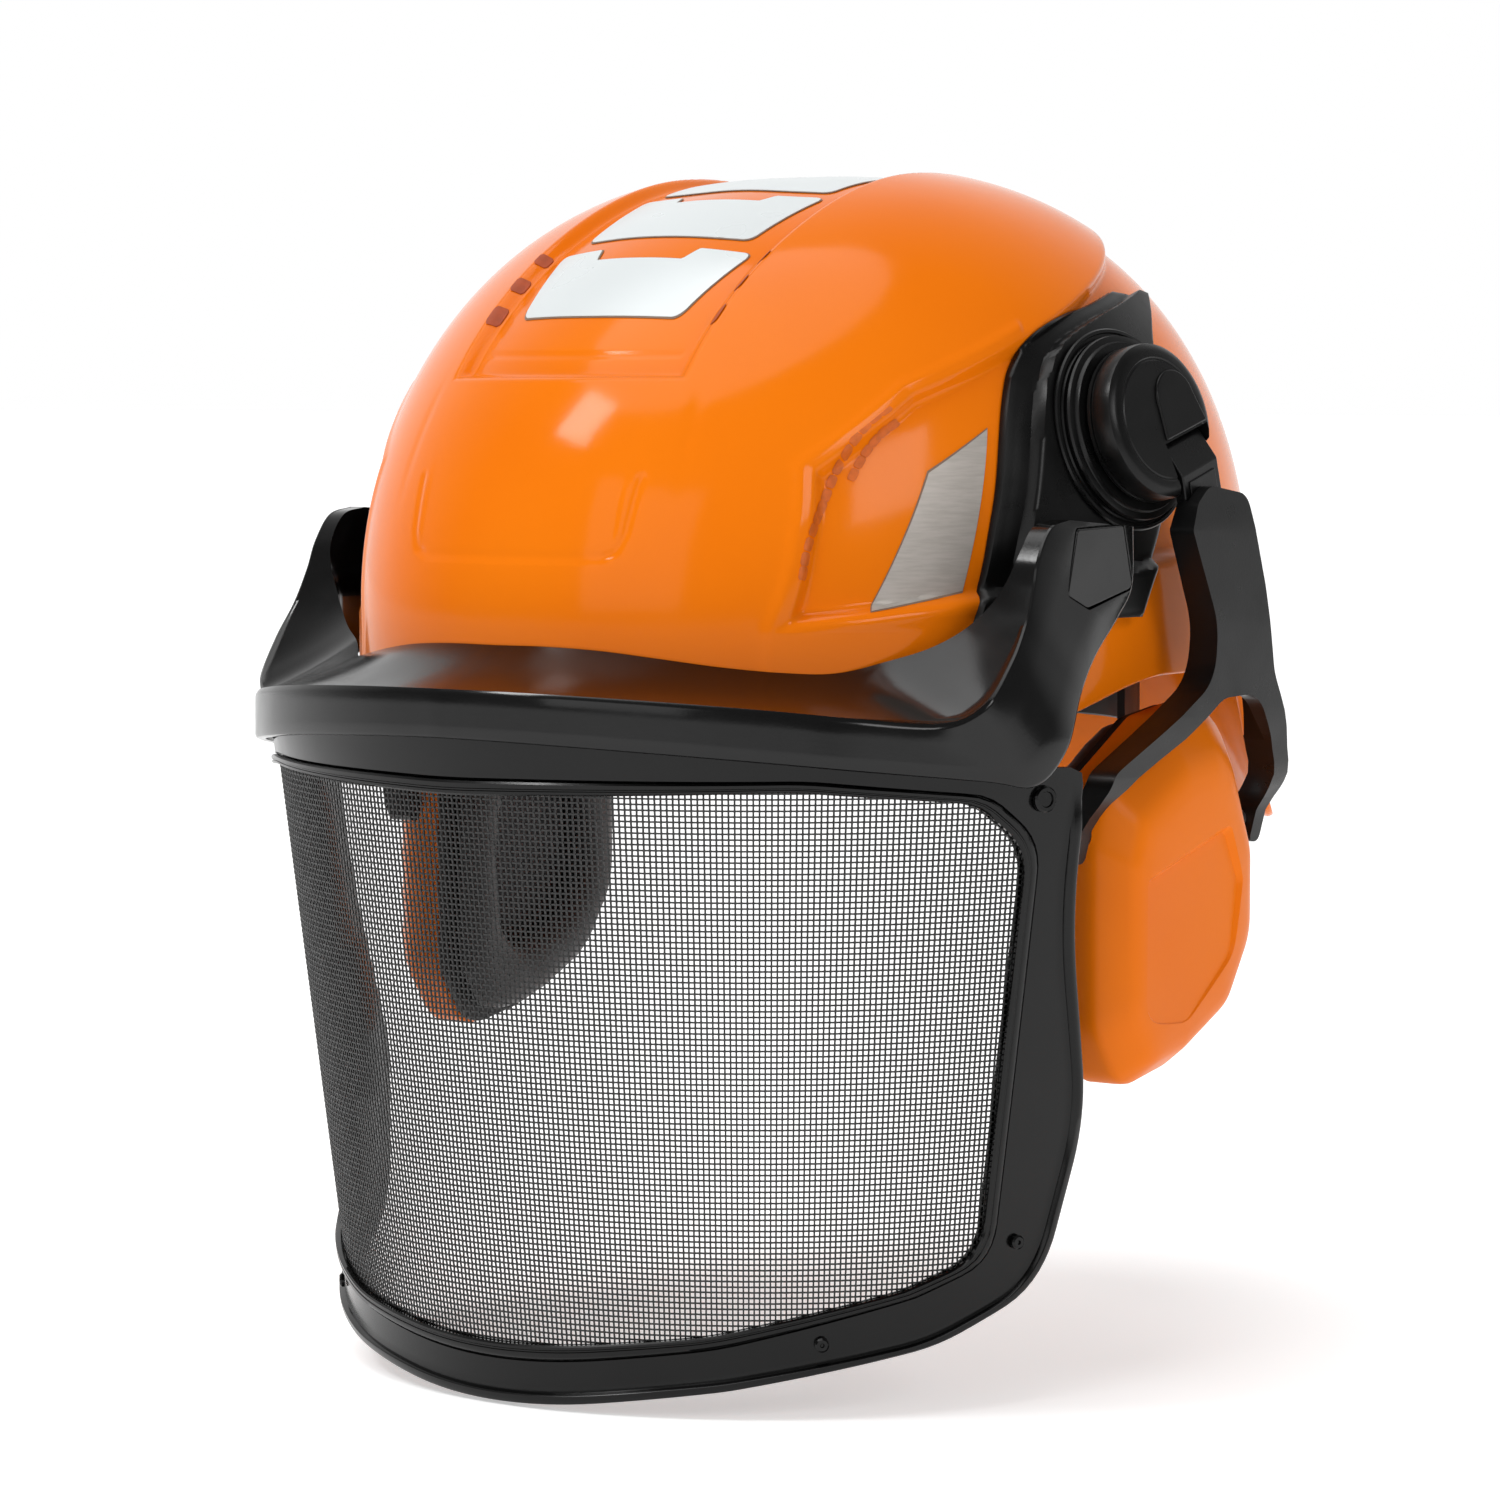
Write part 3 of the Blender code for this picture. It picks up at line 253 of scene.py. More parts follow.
class Shading:
    """A Principled material and the node tree behind it."""

    def __init__(self, name, colour, roughness, metallic=0, **sockets):
        MATS[name] = bpy.data.materials.new(name)
        MATS[name].use_nodes = True
        self.tree = MATS[name].node_tree
        self.shader = self.tree.nodes["Principled BSDF"]
        sockets.update(Base_Color=(*colour, 1), Roughness=roughness, Metallic=metallic)
        for socket, value in sockets.items():
            self.shader.inputs[socket.replace("_", " ")].default_value = value
        self.coords = self.tree.nodes.new("ShaderNodeTexCoord").outputs["Object"]
        self.height = None

    def node(self, kind, **values):
        made = self.tree.nodes.new("ShaderNode" + kind)
        for key, value in values.items():
            if key in made.inputs:
                made.inputs[key].default_value = value
            else:
                setattr(made, key, value)
        return made

    def link(self, a, b):
        self.tree.links.new(a, b)

    def texture(self, kind, output, stretch=None, **values):
        """A texture node's output, read at the object's coordinates, stretched or not."""
        source = self.coords
        if stretch:
            mapping = self.node("Mapping", Scale=stretch)
            self.link(source, mapping.inputs["Vector"])
            source = mapping.outputs["Vector"]
        made = self.node("Tex" + kind, **values)
        self.link(source, made.inputs["Vector"])
        return made.outputs[output]

    def noise(self, scale, detail=3, stretch=None):
        return self.texture("Noise", "Fac", stretch, Scale=scale, Detail=detail, Roughness=0.5)

    def vary_roughness(self, value, low, high):
        made = self.node("MapRange")
        for i, number in enumerate((0.3, 0.7, low, high)):
            made.inputs[i + 1].default_value = number
        self.link(value, made.inputs[0])
        self.link(made.outputs[0], self.shader.inputs["Roughness"])

    def vary_colour(self, value, dark, light, start=0.35, end=0.65):
        ramp = self.node("ValToRGB")
        for i, (place, colour) in enumerate(((start, dark), (end, light))):
            ramp.color_ramp.elements[i].position = place
            ramp.color_ramp.elements[i].color = (*colour, 1)
        self.link(value, ramp.inputs[0])
        self.link(ramp.outputs[0], self.shader.inputs["Base Color"])

    def bump(self, value, distance, strength=1):
        made = self.node("Bump", Strength=strength, Distance=distance)
        self.link(value, made.inputs["Height"])
        if self.height:
            self.link(self.height, made.inputs["Normal"])
        self.height = made.outputs[0]
        self.link(self.height, self.shader.inputs["Normal"])


def orange_plastic(name, roughness=0.2):
    s = Shading(name, (0.83, 0.178, 0.002), roughness, Coat_Weight=0.03, Coat_Roughness=0.04,
                Specular_IOR_Level=0.13)
    s.vary_colour(s.noise(14, 2), (0.81, 0.168, 0.002), (0.85, 0.188, 0.003))
    s.vary_roughness(s.noise(60, 4), roughness * 0.85, roughness * 1.25)
    s.bump(s.noise(260, 2), 0.00004, 0.5)
    s.bump(s.noise(18, 2), 0.0004, 0.12)


def black_plastic(name, roughness=0.3, grain=0.5, shade=0.003, gloss=0.24):
    s = Shading(name, (shade, shade, shade * 1.04), roughness, Specular_IOR_Level=gloss)
    s.vary_colour(s.noise(30, 3), (shade * 0.8,) * 3, (shade * 1.35,) * 3)
    s.vary_roughness(s.noise(90, 5), roughness * 0.82, roughness * 1.3)
    s.bump(s.noise(1500, 2), 0.00003, grain)
    s.bump(s.noise(22, 2), 0.0004, 0.15)


def build_materials():
    """Fills MATS; every piece names its material by key."""
    orange_plastic("shell_orange", 0.12)
    orange_plastic("cup_orange", 0.34)
    # painted shade: dark orange colours for thin sheets that stand for the shade inside vent
    # mouths and slots
    for name, shade in (("groove", (0.42, 0.06, 0.003)), ("slot", (0.66, 0.125, 0.003))):
        mouth = Shading(name + "_shadow", shade, 0.55)
        mouth.vary_colour(mouth.noise(500), tuple(v * 0.8 for v in shade), shade)
    black_plastic(BLACK)
    black_plastic("peak_plastic", 0.15, 0.25, 0.003, 0.34)
    black_plastic("frame_plastic", 0.18, 0.3, 0.002, 0.26)
    black_plastic("band_plastic", 0.42, 0.5, 0.01)
    foil = Shading("foil", (0.69, 0.73, 0.735), 0.32, 0.1)
    foil.vary_roughness(foil.noise(40, 3), 0.26, 0.38)
    foil.bump(foil.noise(2600, 1), 0.00002, 0.4)
    grey = Shading("satin_foil", (0.42, 0.385, 0.35), 0.42, 0.3)
    grey.vary_colour(grey.noise(160, 3, (1, 1, 9)), (0.39, 0.355, 0.32), (0.45, 0.41, 0.375))
    grey.bump(grey.noise(500, 2, (1, 1, 9)), 0.00002, 0.3)
    edge = Shading("foil_edge", (0.22, 0.14, 0.09), 0.5)
    edge.vary_roughness(edge.noise(300), 0.45, 0.6)
    wire = Shading("mesh_wire", (0.008, 0.008, 0.008), 0.45)
    wire.vary_roughness(wire.noise(400), 0.36, 0.5)
    wire.bump(wire.noise(3000), 0.00003, 0.4)
    steel = Shading("steel", (0.55, 0.55, 0.56), 0.3, 1)
    steel.vary_roughness(steel.noise(900, 2, (1, 1, 8)), 0.24, 0.42)
    steel.bump(steel.noise(1800, 2, (1, 1, 10)), 0.00002, 0.5)
    skin = Shading("leatherette", (0.016, 0.016, 0.017), 0.5, Sheen_Weight=0.15)
    skin.vary_roughness(skin.noise(120, 4), 0.42, 0.6)
    skin.bump(skin.texture("Voronoi", "Distance", Scale=900), 0.0001, 0.5)
    skin.bump(skin.noise(160, 3), 0.0002, 0.25)
    foam = Shading("foam", (0.045, 0.045, 0.048), 0.95)
    pores = foam.texture("Voronoi", "Distance", Scale=1100)
    foam.vary_colour(pores, (0.06, 0.06, 0.063), (0.025, 0.025, 0.027), 0.2, 0.7)
    foam.bump(pores, 0.0004, 0.9)
    web = Shading("webbing", (0.03, 0.03, 0.032), 0.8, Sheen_Weight=0.3)
    twill = web.texture("Wave", "Fac", Scale=420, Distortion=0.4, bands_direction="DIAGONAL")
    web.vary_colour(twill, (0.018, 0.018, 0.019), (0.05, 0.05, 0.053), 0.2, 0.8)
    web.bump(twill, 0.0003, 0.7)


# ---- shell

def shell_oval(angle, half_width, half_length):
    s, c = np.sin(angle), np.cos(angle)
    x = half_width * np.copysign(np.abs(s) ** (2 / SHELL_POWER), s)
    y = -half_length * np.copysign(np.abs(c) ** (2 / SHELL_POWER), c)
    return x, y


def off_front(angle):
    """Degrees away from straight ahead, 0 to 180."""
    return np.abs(np.degrees(np.arctan2(np.sin(angle), np.cos(angle))))


def rim_height(angle):
    turn = off_front(angle)
    temple = -9 - 13 * nsmooth(turn, 20, 60)
    ear = temple + (-12 - temple) * nsmooth(turn, 68, 92)
    return ear + (-52 - ear) * nsmooth(turn, 112, 140)


def side_recess(y, z):
    front = (y + 92.1) * 0.97 - (z - 5) * 0.241
    upper = (y + 81.2) * 0.601 - (z - 37.9) * 0.799
    crown = (y + 63.6) * 0.373 - (z - 51.7) * 0.928
    lower = (z - 2) - (y + 84) * 0.12
    return np.minimum(np.minimum(front, upper), np.minimum(crown, lower))


def step_level(x, y, z):
    beside = nsmooth(np.abs(x), 30.6, 33.4)
    brow = np.where(y < 0, 1 - nsmooth(z, 54.5, 57.6), 0)
    level = np.maximum(beside, brow) * (1 - nsmooth(y, 32, 37))
    sunk = 1 - nsmooth(side_recess(y, z), 0.6, 3)
    return np.where(np.abs(x) > 35, level * sunk, level)


def groove(distance, width, depth):
    """A rounded groove's depth at a distance from its middle line."""
    return depth * np.exp(-(distance / width) ** 2)


def segment_distance(u, v, path):
    """Distance from points (u, v) to a polyline."""
    best = np.full(u.shape, 1e9)
    for (u0, v0), (u1, v1) in zip(path, path[1:]):
        du, dv = u1 - u0, v1 - v0
        t = np.clip(((u - u0) * du + (v - v0) * dv) / (du * du + dv * dv), 0, 1)
        best = np.minimum(best, np.hypot(u - u0 - t * du, v - v0 - t * dv))
    return best


LOGO_FRAME = [(-31, 33), (-30, 21), (-28.5, 17.2), (-25, 15.6), (25, 15.6), (28.5, 17.2), (30, 21),
              (31, 33)]


def shell_relief(x, y, z):
    """How far the outer surface stands below the plain dome."""
    drop = 3 * (1 - step_level(x, y, z))
    front = y < -60
    drop += front * groove(segment_distance(x, z, LOGO_FRAME), 0.8, 0.38)
    inside = front & (np.abs(x) < 29) & (z > 16) & (z < 40)
    drop += inside * 0.25 * nsmooth(29 - np.abs(x), 0, 2) * nsmooth(40 - z, 0, 14)
    seam = (y < -20) & (np.abs(x) < 29)
    drop += seam * groove(z - 62, 0.6, 0.3)
    panel = side_recess(y, z)
    on_side = (np.abs(x) > 45) & (y < -30)
    drop -= on_side * groove(panel + 1.1, 1.2, 0.5)
    crease = np.abs(np.abs(x) - (36.5 + 0.10 * np.clip(60 - z, 0, 60)))
    fade = nsmooth(z, 22, 40) * (1 - nsmooth(z, 46, 58))
    drop += (y < 0) * fade * groove(crease, 1.6, 0.14)
    return drop


def fullness(angle):
    """The power of the dome's upright section: round fore and aft, squarer over the ears."""
    return 2 + 0.7 * np.sin(angle) ** 4


def dome_arrays(angle, rise, inset=0, relief=True):
    x, y = shell_oval(angle, SHELL_WIDE - inset, SHELL_LONG - inset)
    high = SHELL_HIGH - inset
    full = fullness(angle)
    out = np.maximum(0, np.cos(rise)) ** (2 / full)
    up = np.sin(rise) ** (2 / full)
    p = np.stack([x * out, y * out + SHELL_Y, high * up], -1)
    slope = out ** (full - 1)
    n = np.stack([x / (SHELL_WIDE - inset) ** 2 * slope,
                  y / (SHELL_LONG - inset) ** 2 * slope, up ** (full - 1) / high], -1)
    n /= np.linalg.norm(n, axis=-1, keepdims=True)
    at = p[..., 0], p[..., 1], p[..., 2]
    drop = shell_relief(*at) if relief else 3 * (1 - step_level(*at))
    return p - n * drop[..., None], n


def shell_surface(columns, rows_up, rows_down, inset, relief):
    """Rings from the rim to the crown as an array of points."""
    angle = np.arange(columns) * (tau / columns)
    rings = []
    top, _ = dome_arrays(angle, np.zeros(columns), inset, relief)
    low = rim_height(angle)
    back = nsmooth(off_front(angle), 105, 150)
    for j in range(rows_down, 0, -1):
        z = low * j / rows_down
        flare = 10 * back * (z / -52) ** 2
        rings.append(np.stack([top[:, 0] + np.sin(angle) * flare,
                               top[:, 1] - np.cos(angle) * flare, z], -1))
    for j in range(rows_up):
        rise = np.full(columns, radians(90) * j / rows_up)
        rings.append(dome_arrays(angle, rise, inset, relief)[0])
    return rings


def build_shell():
    columns, up = 900, 240
    outer = shell_surface(columns, up, 42, 0, True)
    inner = shell_surface(columns, 40, 12, SHELL_WALL, False)
    lip = [mix(inner[0], outer[0], t) + np.array([0, 0, -0.5 * sin(pi * t)])
           for t in (0.25, 0.5, 0.75)]
    rings = inner[::-1] + lip + outer
    crowns = [dome_arrays(np.zeros(1), np.full(1, pi / 2), *surface)[0]
              for surface in ((SHELL_WALL, False), (0, True))]
    points = np.concatenate(rings + crowns) * MM
    total = len(rings) * columns
    last = total - columns
    k = np.arange(columns)
    m = (k + 1) % columns
    faces = [np.stack([a + k, a + m, a + columns + m, a + columns + k], -1)
             for a in range(0, last, columns)]
    faces += [np.stack([k, np.full(columns, total), m], -1),
              np.stack([last + k, last + m, np.full(columns, total + 1)], -1)]
    mesh = bpy.data.meshes.new("shell")
    mesh.from_pydata(points.tolist(), [], [face for some in faces for face in some.tolist()])
    mesh.validate()
    mesh.shade_smooth()
    mesh.materials.append(MATS["shell_orange"])
    settle(new_object("shell_skin", mesh), "helmet", ["shell"])


def surface_at(x, y):
    """The dome over (x, y) and its outward normal."""
    wide, long = abs(x) / SHELL_WIDE, abs(y - SHELL_Y) / SHELL_LONG
    reach = wide ** SHELL_POWER + long ** SHELL_POWER
    angle = atan2(copysign(wide ** (SHELL_POWER / 2), x),
                  copysign(long ** (SHELL_POWER / 2), SHELL_Y - y))
    rise = acos(min(1, reach ** (fullness(angle) / 2 / SHELL_POWER)))
    p, n = dome_arrays(np.array([angle]), np.array([rise]), 0, False)
    return Vector(p[0]), Vector(n[0])


def side_at(y, z):
    """The dome's left flank at (y, z) and its outward normal."""
    low, high = 0, SHELL_WIDE
    long = (abs(y - SHELL_Y) / SHELL_LONG) ** SHELL_POWER
    for _ in range(30):
        x = (low + high) / 2
        wide = (x / SHELL_WIDE) ** SHELL_POWER
        full = 2 + 0.7 * (wide / (wide + long)) ** 2
        size = (wide + long) ** (full / SHELL_POWER) + (z / SHELL_HIGH) ** full
        low, high = (x, high) if size < 1 else (low, x)
    return surface_at(x, y)


def edge_loop(rows):
    return rows[0] + [r[-1] for r in rows[1:]] + rows[-1][-2::-1] + [r[0] for r in rows[-2:0:-1]]


def closed_sheet(lower, upper):
    """The closed solid between two grids of points."""
    bm = bmesh.new()
    low = [[bm.verts.new(p) for p in row] for row in lower]
    high = [[bm.verts.new(p) for p in row] for row in upper]
    for a, b, c, d in zip(low, low[1:], high, high[1:]):
        for i in range(len(a) - 1):
            bm.faces.new((a[i], b[i], b[i + 1], a[i + 1]))
            bm.faces.new((c[i], c[i + 1], d[i + 1], d[i]))
    ring_low, ring_high = edge_loop(low), edge_loop(high)
    for i in range(len(ring_low)):
        j = (i + 1) % len(ring_low)
        bm.faces.new((ring_low[i], ring_low[j], ring_high[j], ring_high[i]))
    return bm


def sheet(rows, thickness, name, mat, lift, **more):
    """A thin piece on the shell from rows of (point, normal) pairs."""
    lower, upper = ([[p + n * height for p, n in row] for row in rows]
                    for height in (lift, lift + thickness))
    return add_object(name, closed_sheet(lower, upper), mat, body="helmet", **more)


def flipped(rows, sign):
    return [[(Vector((sign * p.x, p.y, p.z)), Vector((sign * n.x, n.y, n.z))) for p, n in row]
            for row in rows]


def sticker_rows(front_y, back_y, half_front, half_back, notch_half, notch_deep, bow, grow=0,
                 columns=120, steps=14, radius=2.2):
    """Rows of a trapezium with rounded corners and a notch in its rear edge."""
    rows = []
    front_y, back_y = front_y - grow, back_y + grow
    half_front, half_back = half_front + grow, half_back + grow
    notch_half -= grow
    for i in range(columns + 1):
        u = -1 + 2 * i / columns
        u = copysign(abs(u) ** 0.85, u)
        side = (1 - abs(u)) * half_back
        pull = radius - sqrt(max(0, radius**2 - max(0, radius - side) ** 2))
        across = abs(u) * half_back
        notch = notch_deep * (1 - smooth(across, notch_half - 1.6, notch_half + 0.4))
        row = []
        for k in range(steps + 1):
            y = mix(front_y + pull, back_y - pull - notch, k / steps)
            half = mix(half_front, half_back, (y - front_y) / (back_y - front_y))
            row.append(surface_at(u * half, y + bow * u * u))
        rows.append(row)
    return rows


def build_stickers():
    for name, *shape in (("front", -85.6, -64, 23, 28, 14.5, 4.4, 3.4),
                         ("middle", -59.5, -34, 24, 26.5, 14, 4.4, 3.2),
                         ("rear", -29, 6, 25, 25, 13, 4, 2.4)):
        sheet(sticker_rows(*shape, grow=0.3), 0.12, "sticker_edge_" + name, "foil_edge", 0.1)
        sheet(sticker_rows(*shape), 0.16, "sticker_" + name, "foil", 0.24,
              replaces=["top_sticker_" + name], slot="reflective_foil")
    corners = ((-77.4, 4.4), (-57, 8.4), (-46, 44.4), (-61.9, 34.8))
    for grow, name, mat, lift, thick in ((0.45, "side_foil_edge", "foil_edge", 0.1, 0.12),
                                         (0, "side_foil", "satin_foil", 0.24, 0.16)):
        middle = Vector((-58, 23))
        quad = [Vector(c) + (Vector(c) - middle).normalized() * grow for c in corners]
        rows = []
        for i in range(41):
            spots = [quad[0].lerp(quad[1], i / 40).lerp(quad[3].lerp(quad[2], i / 40), k / 40)
                     for k in range(41)]
            rows.append([side_at(p.x, p.y) for p in spots])
        for side, sign in SIDES:
            swaps = ["side_sticker_" + side] if name == "side_foil" else []
            sheet(flipped(rows, sign), thick, name + "_" + side, mat, lift, replaces=swaps,
                  slot="reflective_foil")


def patch(centre, along, across, length, width, surface, n=10, corner=0.5):
    """Rows of a small rounded patch on the shell, in the two coordinates surface takes."""
    rows = []
    c, a, b = Vector(centre), Vector(along).normalized(), Vector(across).normalized()
    for i in range(n + 1):
        u = -1 + 2 * i / n
        edge = 1 - max(0, abs(u) - 1 + corner) ** 2 / corner**2 * 0.35
        spots = [c + a * (u * length / 2) + b * ((-1 + k / 2) * edge * width / 2)
                 for k in range(5)]
        rows.append([surface(spot.x, spot.y) for spot in spots])
    return rows


def build_vents():
    """Dark sheets of painted shade for the vent mouths in the trough's side walls and for the
    paired slots round the side panels.
    """
    for i, (y, length) in enumerate(((-79, 4.4), (-70.5, 3.8), (-62, 3.4))):
        for side, sign in SIDES:
            # each vent sheet is painted shade laid on the wall, not an opening
            rows = patch((sign * 32.1, y), (0, 1), (sign, 0), length, 1.9, surface_at)
            sheet(rows, 0.2, f"vent_{i}_{side}", "groove_shadow", 0.2)
    points = [Vector(p) for p in ((-88.1, 11), (-86.8, 17), (-84.4, 23.1), (-82, 28.1),
                                  (-78.9, 34), (-75.1, 39.6), (-70.8, 44.2), (-66, 47.6))]
    slots = 14
    for i in range(slots):
        t = (i + 0.5) / slots
        here = spline(points, t)
        ahead = spline(points, min(1, t + 0.01)) - spline(points, max(0, t - 0.01))
        side_way = Vector((-ahead.y, ahead.x))
        for lane, offset in ((0, 1.3), (1, -1.5)):
            if lane and t < 0.58:
                continue
            spot = here + side_way.normalized() * offset
            rows = patch(spot, ahead, side_way, 3, 1.5, side_at, n=6)
            # each slot sheet is painted shade laid on the flank, not an opening
            for side, sign in SIDES:
                sheet(flipped(rows, sign), 0.14, f"slot_{lane}_{i}_{side}", "slot_shadow", 0.1)


# ---- side mounts and hubs

def steel_pin(name, place, near, far, radius, chamfer, body, node, steps=32):
    """A turned pin with chamfered ends, on both sides of the helmet."""
    tip = radius - chamfer
    pin = turned([(0, near), (tip, near), (radius, near + chamfer), (radius, far - chamfer),
                  (tip, far), (0, far)], place, steps)
    both(name, pin, "steel", body, [node], slot="steel")


HUB_OUT = Vector((cos(LEAN_UP) * cos(LEAN_FORWARD),
                  -cos(LEAN_UP) * sin(LEAN_FORWARD), sin(LEAN_UP)))
HUB_PLACE = axis_frame(HUB, HUB_OUT)
STRAP_UP = Vector((0, -0.29, 0.957)).normalized()
STRAP_OUT = Vector((1, 0, 0))
STRAP_PLACE = frame_at(SWING, STRAP_UP.cross(STRAP_OUT), STRAP_UP, STRAP_OUT)


def build_side_mounts():
    """A plate with a stepped front flank: a low flange, a rise, and a flat face round the hub."""
    front = [Vector(p) for p in ((-56.2, 1.5), (-52.6, 11.5), (-49.8, 21.5), (-47.2, 30),
                                 (-43.6, 42.5), (-40, 51.5), (-35.4, 58.6), (-27.5, 64.8),
                                 (-14, 69.8), (-1, 73), (11, 76))]
    rear = [Vector(p) for p in ((-10, 1.5), (-6, 9), (-1, 17), (3, 25), (5.5, 33), (7, 41),
                                (8, 49), (9.5, 56), (13, 63), (18, 69), (22.4, 73.8))]
    rows, tops = [], []
    n, m = 90, 60
    for j in range(n + 1):
        a, b = spline(front, j / n), spline(rear, j / n)
        low, high = [], []
        span = (b - a).length
        for i in range(m + 1):
            spot = a.lerp(b, i / m)
            point, normal = side_at(spot.x, spot.y)
            inside = i / m * span
            rim = min((1 - i / m) * span, (1 - j / n) * 80, j / n * 70)
            lift = 0.5 + 1.5 * smooth(inside, 0, 1) + 0.5 * smooth(inside, 1, 6)
            lift += 2.6 * smooth(inside, 6.6, 8)
            lift -= 0.9 * (1 - smooth(rim, 0, 1.1))
            low.append(point + normal * 0.35)
            high.append(point + normal * max(lift, 0.6))
        rows.append(low)
        tops.append(high)
    both("temple_mount", closed_sheet(rows, tops), BLACK, "helmet", ["side_mount"],
         slot=BLACK, sharp=40)
    boss = turned([(0, -1.4), (21.9, -1.4), (22.9, -1), (23.2, -0.3), (22.9, 0.1), (22.2, 0.2),
                   (22, -0.2), (0, -0.2)], HUB_PLACE, 128)
    both("hub_collar", boss, BLACK, "helmet")


def strap_block(half, start, end, base, depth):
    """A block on the muff arm's own axes: across, along and outward."""
    return prism([(-half, start), (half, start), (half, end), (-half, end)],
                 lambda u, v, w: STRAP_PLACE @ Vector((u, v, base + w)), depth)


def build_hubs():
    base = [(0, -1.2), (21.2, -1.2), (21.4, -0.4), (21, 0.2), (20.3, 0.35), (20.3, 0.9),
            (21, 1.05), (21.2, 1.5), (21, 2.1), (20.3, 2.3), (19.6, 2.35), (19.3, 2.7),
            (19.2, 3.25), (0, 3.25)]
    both("hub_ring", turned(base, HUB_PLACE, 128), BLACK, "helmet", ["hub_base"], slot=BLACK)
    disc = [(0, 3.75), (17.2, 3.75), (17.6, 4.2), (17.6, 4.9), (17.1, 5.1), (17.1, 5.6),
            (17.6, 5.8), (17.7, 6.4), (17.7, 9.4), (17.4, 10.4), (16.6, 11.1), (15.6, 11.45),
            (14.2, 11.5), (13.9, 11.3), (13.6, 11.3), (13.3, 11.5), (0, 11.5)]
    caps = both("hub_cap", turned(disc, HUB_PLACE, 128), BLACK, "hub", ["hub_disc"], slot=BLACK)
    carve(caps, [strap_block(8.6, -30, 3.9, -3.5, 20)], BLACK, 32)
    round_end = 6.7
    outline = [(-8, 4.3), (8, 4.3)]
    outline += [(round_end * cos(pi * k / 20), 11.6 + round_end * sin(pi * k / 20))
                for k in range(21)]

    def on_disc(u, v, w):
        spot = STRAP_PLACE @ Vector((u, v, 0))
        spot.x += (11 - (spot - HUB).dot(HUB_OUT)) / HUB_OUT.x
        return spot + HUB_OUT * w

    both("hub_tongue", prism(outline, on_disc, 1.1), BLACK, "hub", bevel=0.5)


def build_arm():
    knuckle, inner, outer = 3.1, 2.9, 5.7
    side = [(knuckle * cos(radians(a)), knuckle * sin(radians(a))) for a in range(70, -127, -14)]
    side += [(-7, inner), (-50, inner), (-50, outer), (-4, outer)]
    arm = prism(side, lambda v, w, u: STRAP_PLACE @ Vector((u - 7.5, v, w)), 15)
    both("arm_blade", arm, BLACK, "arm", ["muff_arm"], slot=BLACK, bevel=0.4)
    both("arm_rib", strap_block(5.4, -6, -24, 5.65, 0.4), BLACK, "arm", bevel=0.25)
    across = axis_frame(SWING, STRAP_PLACE.col[0].to_3d())
    steel_pin("swing_bar", across, -8.4, 8.4, 1.5, 0.2, "hub", "swing_pin")


CUP_AXIS = axis_frame((97, 0, -47), (0, 1, 0))


def ramp(value, points):
    """The height at a value along a row of (value, height) points, eased in between."""
    for (a, ha), (b, hb) in zip(points, points[1:]):
        if value <= b:
            return mix(ha, hb, smooth(value, a, b) * 0.5 + 0.5 * clamp((value - a) / (b - a)))
    return points[-1][1]


def build_yoke():
    outline = rounded([
        (-10.5, 21, 2), (-7.5, 27, 4), (-2, 31, 6), (13.5, 28.8, 5), (20, 8, 30), (24.5, -12, 14),
        (32, -25, 16), (39.5, -40, 10), (39.5, -52.5, 3), (35.3, -52.5, 2), (35.3, -42, 7),
        (26, -27, 14), (17, -16.5, 10), (3, -17, 10), (-11, -25.5, 14), (-29, -34, 10),
        (-34, -39, 3), (-34, -52.5, 2), (-38, -52.5, 3), (-38, -32.5, 5), (-14, -20, 18),
        (-1, -13, 12), (-0.5, 0, 20)], 8)
    bm = prism(outline, lambda y, z, w: Vector((w, y, z)), 1)
    for k in range(27):
        bmesh.ops.bisect_plane(bm, geom=bm.verts[:] + bm.edges[:] + bm.faces[:],
                               plane_co=(0, 0, 27 - 3 * k), plane_no=(0, 0, 1))
    outer = [(-53, 100), (-46, 101.5), (-34, 110), (-20, 113), (0, 113.6), (20, 113.2),
             (31, 112.2)]
    inner = [(-53, 93.6), (-46, 93.6), (-34, 103), (-20, 105), (0, 106.4), (31, 107)]
    for vert in bm.verts:
        vert.co.x = ramp(vert.co.z, outer if vert.co.x > 0.5 else inner)
    forks = both("yoke_fork", bm, BLACK, "yoke", ["yoke"], slot=BLACK)
    carve(forks, [strap_block(7.9, -90, 10, 1, 5.3)], BLACK, 30, 0.9, 32)
    for end, near, far in (("front", -36.3, -29.4), ("rear", 29.4, 37.9)):
        steel_pin("cup_pivot_" + end, CUP_AXIS, near, far, 2.2, 0.3, "yoke", "cup_pin_" + end)


# ---- ear cups

CUP = [(14, -18.8, 8), (-3.5, -21.5, 8), (-27, -35.2, 8), (-31, -48, 10), (-30.8, -90, 14),
       (-21, -104.5, 9), (-3, -101, 16), (19, -90.5, 14), (31, -72, 18), (31, -48, 16),
       (21, -24, 8)]


def cup_ring(x, inset, face=0):
    """The cup's outline at x, drawn in by an inset; face slides it down the sloping front."""
    middle = Vector((-1, -61))
    ring = []
    for y, z in rounded(CUP, 7):
        place = Vector((-1, -61 - 3 * face)) + (Vector((y, z)) - middle) * (1 - inset / 37)
        ring.append(Vector((x, place.x, place.y)))
    return ring


